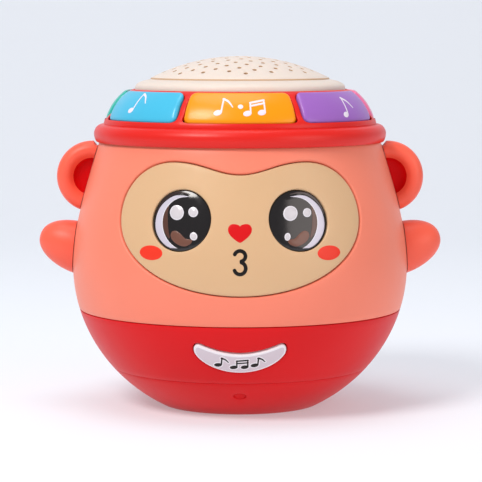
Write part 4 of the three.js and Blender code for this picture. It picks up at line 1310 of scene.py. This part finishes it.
def make_music_key():
    """The smile-shaped key, with its rim and the notes on it, each with a pale border."""
    mesh = Mesh()
    surface = front_bowl.casing_surface(0.5)
    panel(mesh, surface, 3.2, Edge(SMILE_OUTLINE, SMILE_EDGE), spacing=1.5, slot=1, edge_slot=0)
    lathe(mesh, MUSIC_STEM, 32, front_bowl.matrix())
    piece(mesh, "music_key_look", [MUSIC_WHITE, MUSIC_LILAC], "music_key", ["music_key"])
    halo, ink = Mesh(), Mesh()
    for k, loop in enumerate(MUSIC_KEY_PRINT):
        glyph = [(x, 0.8 * y - 0.85) for x, y in loop]
        inlay(halo, grow(glyph, 0.42), surface, 0.02 + 0.001 * k, spacing=0.9)
        inlay(ink, glyph, surface, 0.05 + 0.003 * k, spacing=0.9)
    piece(halo, "music_key_halo_print", [MUSIC_WHITE], "music_key")
    piece(ink, "music_key_note_print", [INK_BLACK], "music_key")
    make_pad("music_pad", front_bowl.matrix(MUSIC_PAD_OUT))


def make_volume_knob():
    """A grooved grip on a plate that slides behind the bowl's wall."""
    mesh = Mesh()
    floor = lambda point: point - rear_bowl.out * 0.35
    grooves = []
    for i in (-1, 0, 1):
        x = KNOB_MIDDLE + 1.4 * i
        groove = rounded_rectangle(x - 0.28, x + 0.28, -1.6, 1.6, 0.25, 0.6)
        grooves.append(Edge(groove, GROOVE_EDGE, back=floor, blind=True))
    grip = rounded_rectangle(KNOB_MIDDLE - 2.4, KNOB_MIDDLE + 2.4, -2.2, 2.2, 0.8, 0.8)
    panel(mesh, rear_bowl.plane(0.9), 6.5, Edge(grip, GRIP_EDGE), grooves, spacing=0.8)
    plate = rounded_rectangle(KNOB_MIDDLE - 5, KNOB_MIDDLE + 5, -3.6, 3.6, 0.6)
    panel(mesh, rear_bowl.plane(-5.2), 1.1, Edge(plate, TAB_EDGE))
    piece(mesh, "volume_switch_knob_look", [BLACK], "volume_knob", ["volume_switch_knob"])


# ---------------------------------------------------------------- the battery compartment


def make_battery_door():
    """A curved door with finger ribs, a screw well and two tabs that hook behind the wall."""
    mesh = Mesh()
    well = rear_well(0, DOOR_SCREW_Z, 2.6, 36, body_radius(DOOR_SCREW_Z) - 2.2)
    panel(mesh, rear_casing, WALL, Edge(casing_loop(door_outline(), REAR)), [well])
    for i in range(5):
        z = 80.5 + 2.1 * i
        half = 8 - 0.9 * abs(i - 2)
        rib = casing_loop(rounded_rectangle(-half, half, z - 0.5, z + 0.5, 0.49, 1.2), REAR)
        panel(mesh, raised(rear_casing, 0.45), 0.6, Edge(rib, RIB_EDGE), spacing=1.0)
    for side in SIDES.values():
        tab = casing_loop(rounded_rectangle(side * 14 - 4, side * 14 + 4, 88.5, 94.4, 1.0), REAR)
        panel(mesh, raised(rear_casing, -WALL - GAP), 1.3, Edge(tab, TAB_EDGE))
    piece(mesh, "battery_door_look", [CORAL], "battery_door", ["battery_door"])


# A cell's sleeve, the band at its end, and its nub.
HALF_CELL = CELL_LENGTH / 2
CELL_PROFILES = (
    (
        (3.6, -HALF_CELL), (3.9, 0.25 - HALF_CELL), (4.8, 0.3 - HALF_CELL), (5.15, 0.6 - HALF_CELL),
        (CELL_RADIUS, 1.1 - HALF_CELL), (CELL_RADIUS, HALF_CELL - 13),
    ),
    (
        (CELL_RADIUS, HALF_CELL - 13), (CELL_RADIUS, HALF_CELL - 2.2), (5.0, HALF_CELL - 1.4),
        (4.4, HALF_CELL - 1.1),
    ),
    (
        (4.4, HALF_CELL - 1.1), (2.2, HALF_CELL - 1.1), (1.9, HALF_CELL - 0.9),
        (1.85, HALF_CELL - 0.2), (1.6, HALF_CELL),
    ),
)


def cell_height(i):
    return CELL_Z + (i - 1) * CELL_PITCH


def make_cells():
    """Three cells, end to end in opposite ways."""
    for i in range(3):
        way = 1 if i % 2 == 0 else -1
        place = standing(0, CELL_Y, cell_height(i)) @ Matrix.Rotation(way * math.pi / 2, 4, "Y")
        mesh = Mesh()
        parts = [spun(profile, 48, place) for profile in CELL_PROFILES]
        for k, rows in enumerate(parts):
            mesh.strip(rows, k)
        mesh.fan(parts[0][0], place @ Vector((0, 0, -HALF_CELL)), 0)
        mesh.fan(parts[-1][-1], place @ Vector((0, 0, HALF_CELL)), 2)
        node = f"battery_{i + 1}"
        piece(mesh, f"{node}_look", [CELL_SLEEVE, CELL_BAND, STEEL], "casing", [node])


def make_contacts():
    """At each end of the cells, a sheet with a cone of wire for every cell."""
    sheet = Edge(rounded_rectangle(-14.8, 14.8, -4, 4, 1.2, 2.0), SHEET_EDGE)
    for name, side in SIDES.items():
        mesh = Mesh()
        x = side * (HALF_CELL + 3.6 - CONTACT_SHEET)

        def flat(u, v):
            return Vector((x, CELL_Y + v, CELL_Z + u)), Vector((side, 0, 0))

        panel(mesh, flat, CONTACT_SHEET, sheet, spacing=3)
        for i in range(3):
            place = standing(x, CELL_Y, cell_height(i)) @ Matrix.Rotation(-side * math.pi / 2, 4, "Y")
            cone = [place @ Vector((a, b, 0.25 + 2.5 * share)) for a, b, share in coil(3.2, 1.6, 3.5, 120)]
            tube(mesh, cone, CONTACT_WIRE, 8)
        node = f"battery_contact_{name}"
        piece(mesh, f"{node}_look", [STEEL], "casing", [node], 60)


# ---------------------------------------------------------------- screws


def cross_outline(arm=1.15, half=0.34):
    """The driver recess of a screw: a plus."""
    loop = [
        (arm, -half), (arm, half), (half, half), (half, arm), (-half, arm), (-half, half),
        (-arm, half), (-arm, -half), (-half, -half), (-half, -arm), (half, -arm), (half, -half),
    ]
    return resampled(loop, 0.4)


def make_screw(node, place, body):
    """A pan-head screw that points along its own +Z, with its head below zero."""
    mesh = Mesh()
    way = (place.to_3x3() @ UP).normalized()
    face = lambda x, y: (place @ Vector((x, y, 0.05 * (x * x + y * y) - 1.7)), way)
    recess = Edge(cross_outline(), RECESS_EDGE, back=lambda point: point + way * 0.8, blind=True)
    panel(mesh, face, 1.2, Edge(circle(0, 0, 2.1, 40), SMALL_EDGE), [recess], spacing=0.7)
    profile = [(0, -0.9), (2.25, -0.95), (2.25, -0.2), (1.4, 0), (0.95, 0)]
    for i in range(int(SCREW_LENGTH / THREAD_PITCH)):
        z = 0.3 + THREAD_PITCH * i
        profile += [(0.85, z), (1.12, z + 0.3), (0.85, z + 0.6)]
    lathe(mesh, [*profile, (0.6, SCREW_LENGTH - 0.3), (0, SCREW_LENGTH)], 32, place)
    piece(mesh, f"{node}_look", [STEEL], body, [node])


def make_screws():
    for i, angle in enumerate(BASE_SCREW_ANGLES, 1):
        place = standing(*on_circle(BASE_SCREW_CIRCLE, angle), BASE_WELL_FLOOR - 0.2)
        make_screw(f"base_screw_{i}", place, "casing")
    inwards = Matrix.Rotation(math.pi / 2, 4, "X")
    for name, (x, z) in SHELL_SCREWS.items():
        make_screw(f"shell_screw_{name}", standing(x, SHELL_WELL_FLOOR + 0.25, z) @ inwards, "casing")
    seat = body_radius(DOOR_SCREW_Z) - 1.95
    make_screw("door_screw", standing(0, seat, DOOR_SCREW_Z) @ inwards, "battery_door")


# ---------------------------------------------------------------- the CAD pieces that stay

DRESSED = {
    "deck": BLACK,
    "key_board": BOARD,
    "main_board": BOARD,
    "music_board": BOARD,
    "sound_chip": BLACK,
    "drum_switch": BLACK,
    "lamp_1": LAMP,
    "lamp_2": LAMP,
    "speaker_frame": STEEL,
    "speaker_magnet": STEEL,
    "speaker_cone": PAPER,
    "volume_switch_body": BLACK,
    "battery_tray": CORAL,
}


def dress_cad_nodes():
    for name, material in DRESSED.items():
        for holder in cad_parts[name].material_slots:
            holder.material = material


# ---------------------------------------------------------------- stage, light and camera, in metres

CAMERA_DISTANCE = 0.8975
CAMERA_HEIGHT_ANGLE = math.radians(5.43)
CAMERA_TARGET = Vector((0.0004, 0, 0.0665))
LENS = 163.08
SENSOR = 36
BACKDROP = (238, 241, 246)
FLOOR_GLOW = 0.34
SKY = 0.42
FLOOR_HALF_WIDTH = 2.4
FLOOR_NEAR = -1.6
BEND_START = 0.7
BEND_RADIUS = 0.6
BACKDROP_TOP = 2.2
LIT_HEIGHT = 0.07  # what the lights point at


def make_stage():
    """A pale floor that curves up into the backdrop."""
    line = [(FLOOR_NEAR, 0.0), (BEND_START, 0.0)]
    for i in range(1, 17):
        a = math.pi / 2 * i / 16
        line.append((BEND_START + BEND_RADIUS * math.sin(a), BEND_RADIUS - BEND_RADIUS * math.cos(a)))
    line.append((BEND_START + BEND_RADIUS, BACKDROP_TOP))
    across = [FLOOR_HALF_WIDTH * (i / 4 - 1) for i in range(9)]
    mesh = Mesh()
    mesh.strip([[Vector((x, y, z)) / MM for x in across] for y, z in line], closed=False)
    paper = moulded("floor_paper", (206, 210, 217), 0.995, (0.85, 0.95), grain=0.01, specular=0.1)
    shader = paper.node_tree.nodes["Principled BSDF"]
    shader.inputs["Emission Color"].default_value = (*linear(BACKDROP), 1)
    shader.inputs["Emission Strength"].default_value = FLOOR_GLOW
    to_object(mesh, "floor", [paper])


def soft_light(name, at, size, power, colour=(1, 1, 1)):
    data = bpy.data.lights.new(name, "AREA")
    data.shape = "DISK"
    data.size = size
    data.energy = power
    data.color = colour
    lamp = bpy.data.objects.new(name, data)
    lamp.location = at
    lamp.rotation_euler = (Vector((0, 0, LIT_HEIGHT)) - Vector(at)).to_track_quat("-Z", "Y").to_euler()
    bpy.context.scene.collection.objects.link(lamp)


def make_lights():
    world = bpy.data.worlds.new("studio")
    bpy.context.scene.world = world
    world.use_nodes = True
    sky = world.node_tree.nodes["Background"]
    sky.inputs["Color"].default_value = (*linear(BACKDROP), 1)
    sky.inputs["Strength"].default_value = SKY
    soft_light("key_light", (-0.6, -0.75, 1.05), 0.5, 11.0, (1.0, 0.96, 0.92))
    soft_light("fill_light", (0.95, -0.75, 0.4), 0.8, 3.4, (1.0, 0.9, 0.85))
    soft_light("top_light", (-0.1, 0.0, 1.3), 0.8, 4.5)


def make_camera():
    data = bpy.data.cameras.new("camera")
    data.lens = LENS
    data.sensor_width = SENSOR
    camera = bpy.data.objects.new("camera", data)
    away = Vector((0, -math.cos(CAMERA_HEIGHT_ANGLE), math.sin(CAMERA_HEIGHT_ANGLE))) * CAMERA_DISTANCE
    camera.location = CAMERA_TARGET + away
    camera.rotation_euler = (-away).to_track_quat("-Z", "Y").to_euler()
    bpy.context.scene.collection.objects.link(camera)
    bpy.context.scene.camera = camera
    bpy.context.scene.view_settings.view_transform = "Standard"


# ---------------------------------------------------------------- the whole


def make_everything():
    make_front_shell()
    make_rear_shell()
    make_lower_shell()
    make_base_cover()
    make_face_plate()
    make_face_prints()
    for name, side in SIDES.items():
        make_eye(name, side)
        make_ear(name, side)
        make_arm(name, side)
    make_rim()
    make_keys()
    make_drum_head()
    make_springs()
    make_music_key()
    make_volume_knob()
    make_battery_door()
    make_cells()
    make_contacts()
    make_screws()
    dress_cad_nodes()
    make_stage()
    make_lights()
    make_camera()


make_everything()
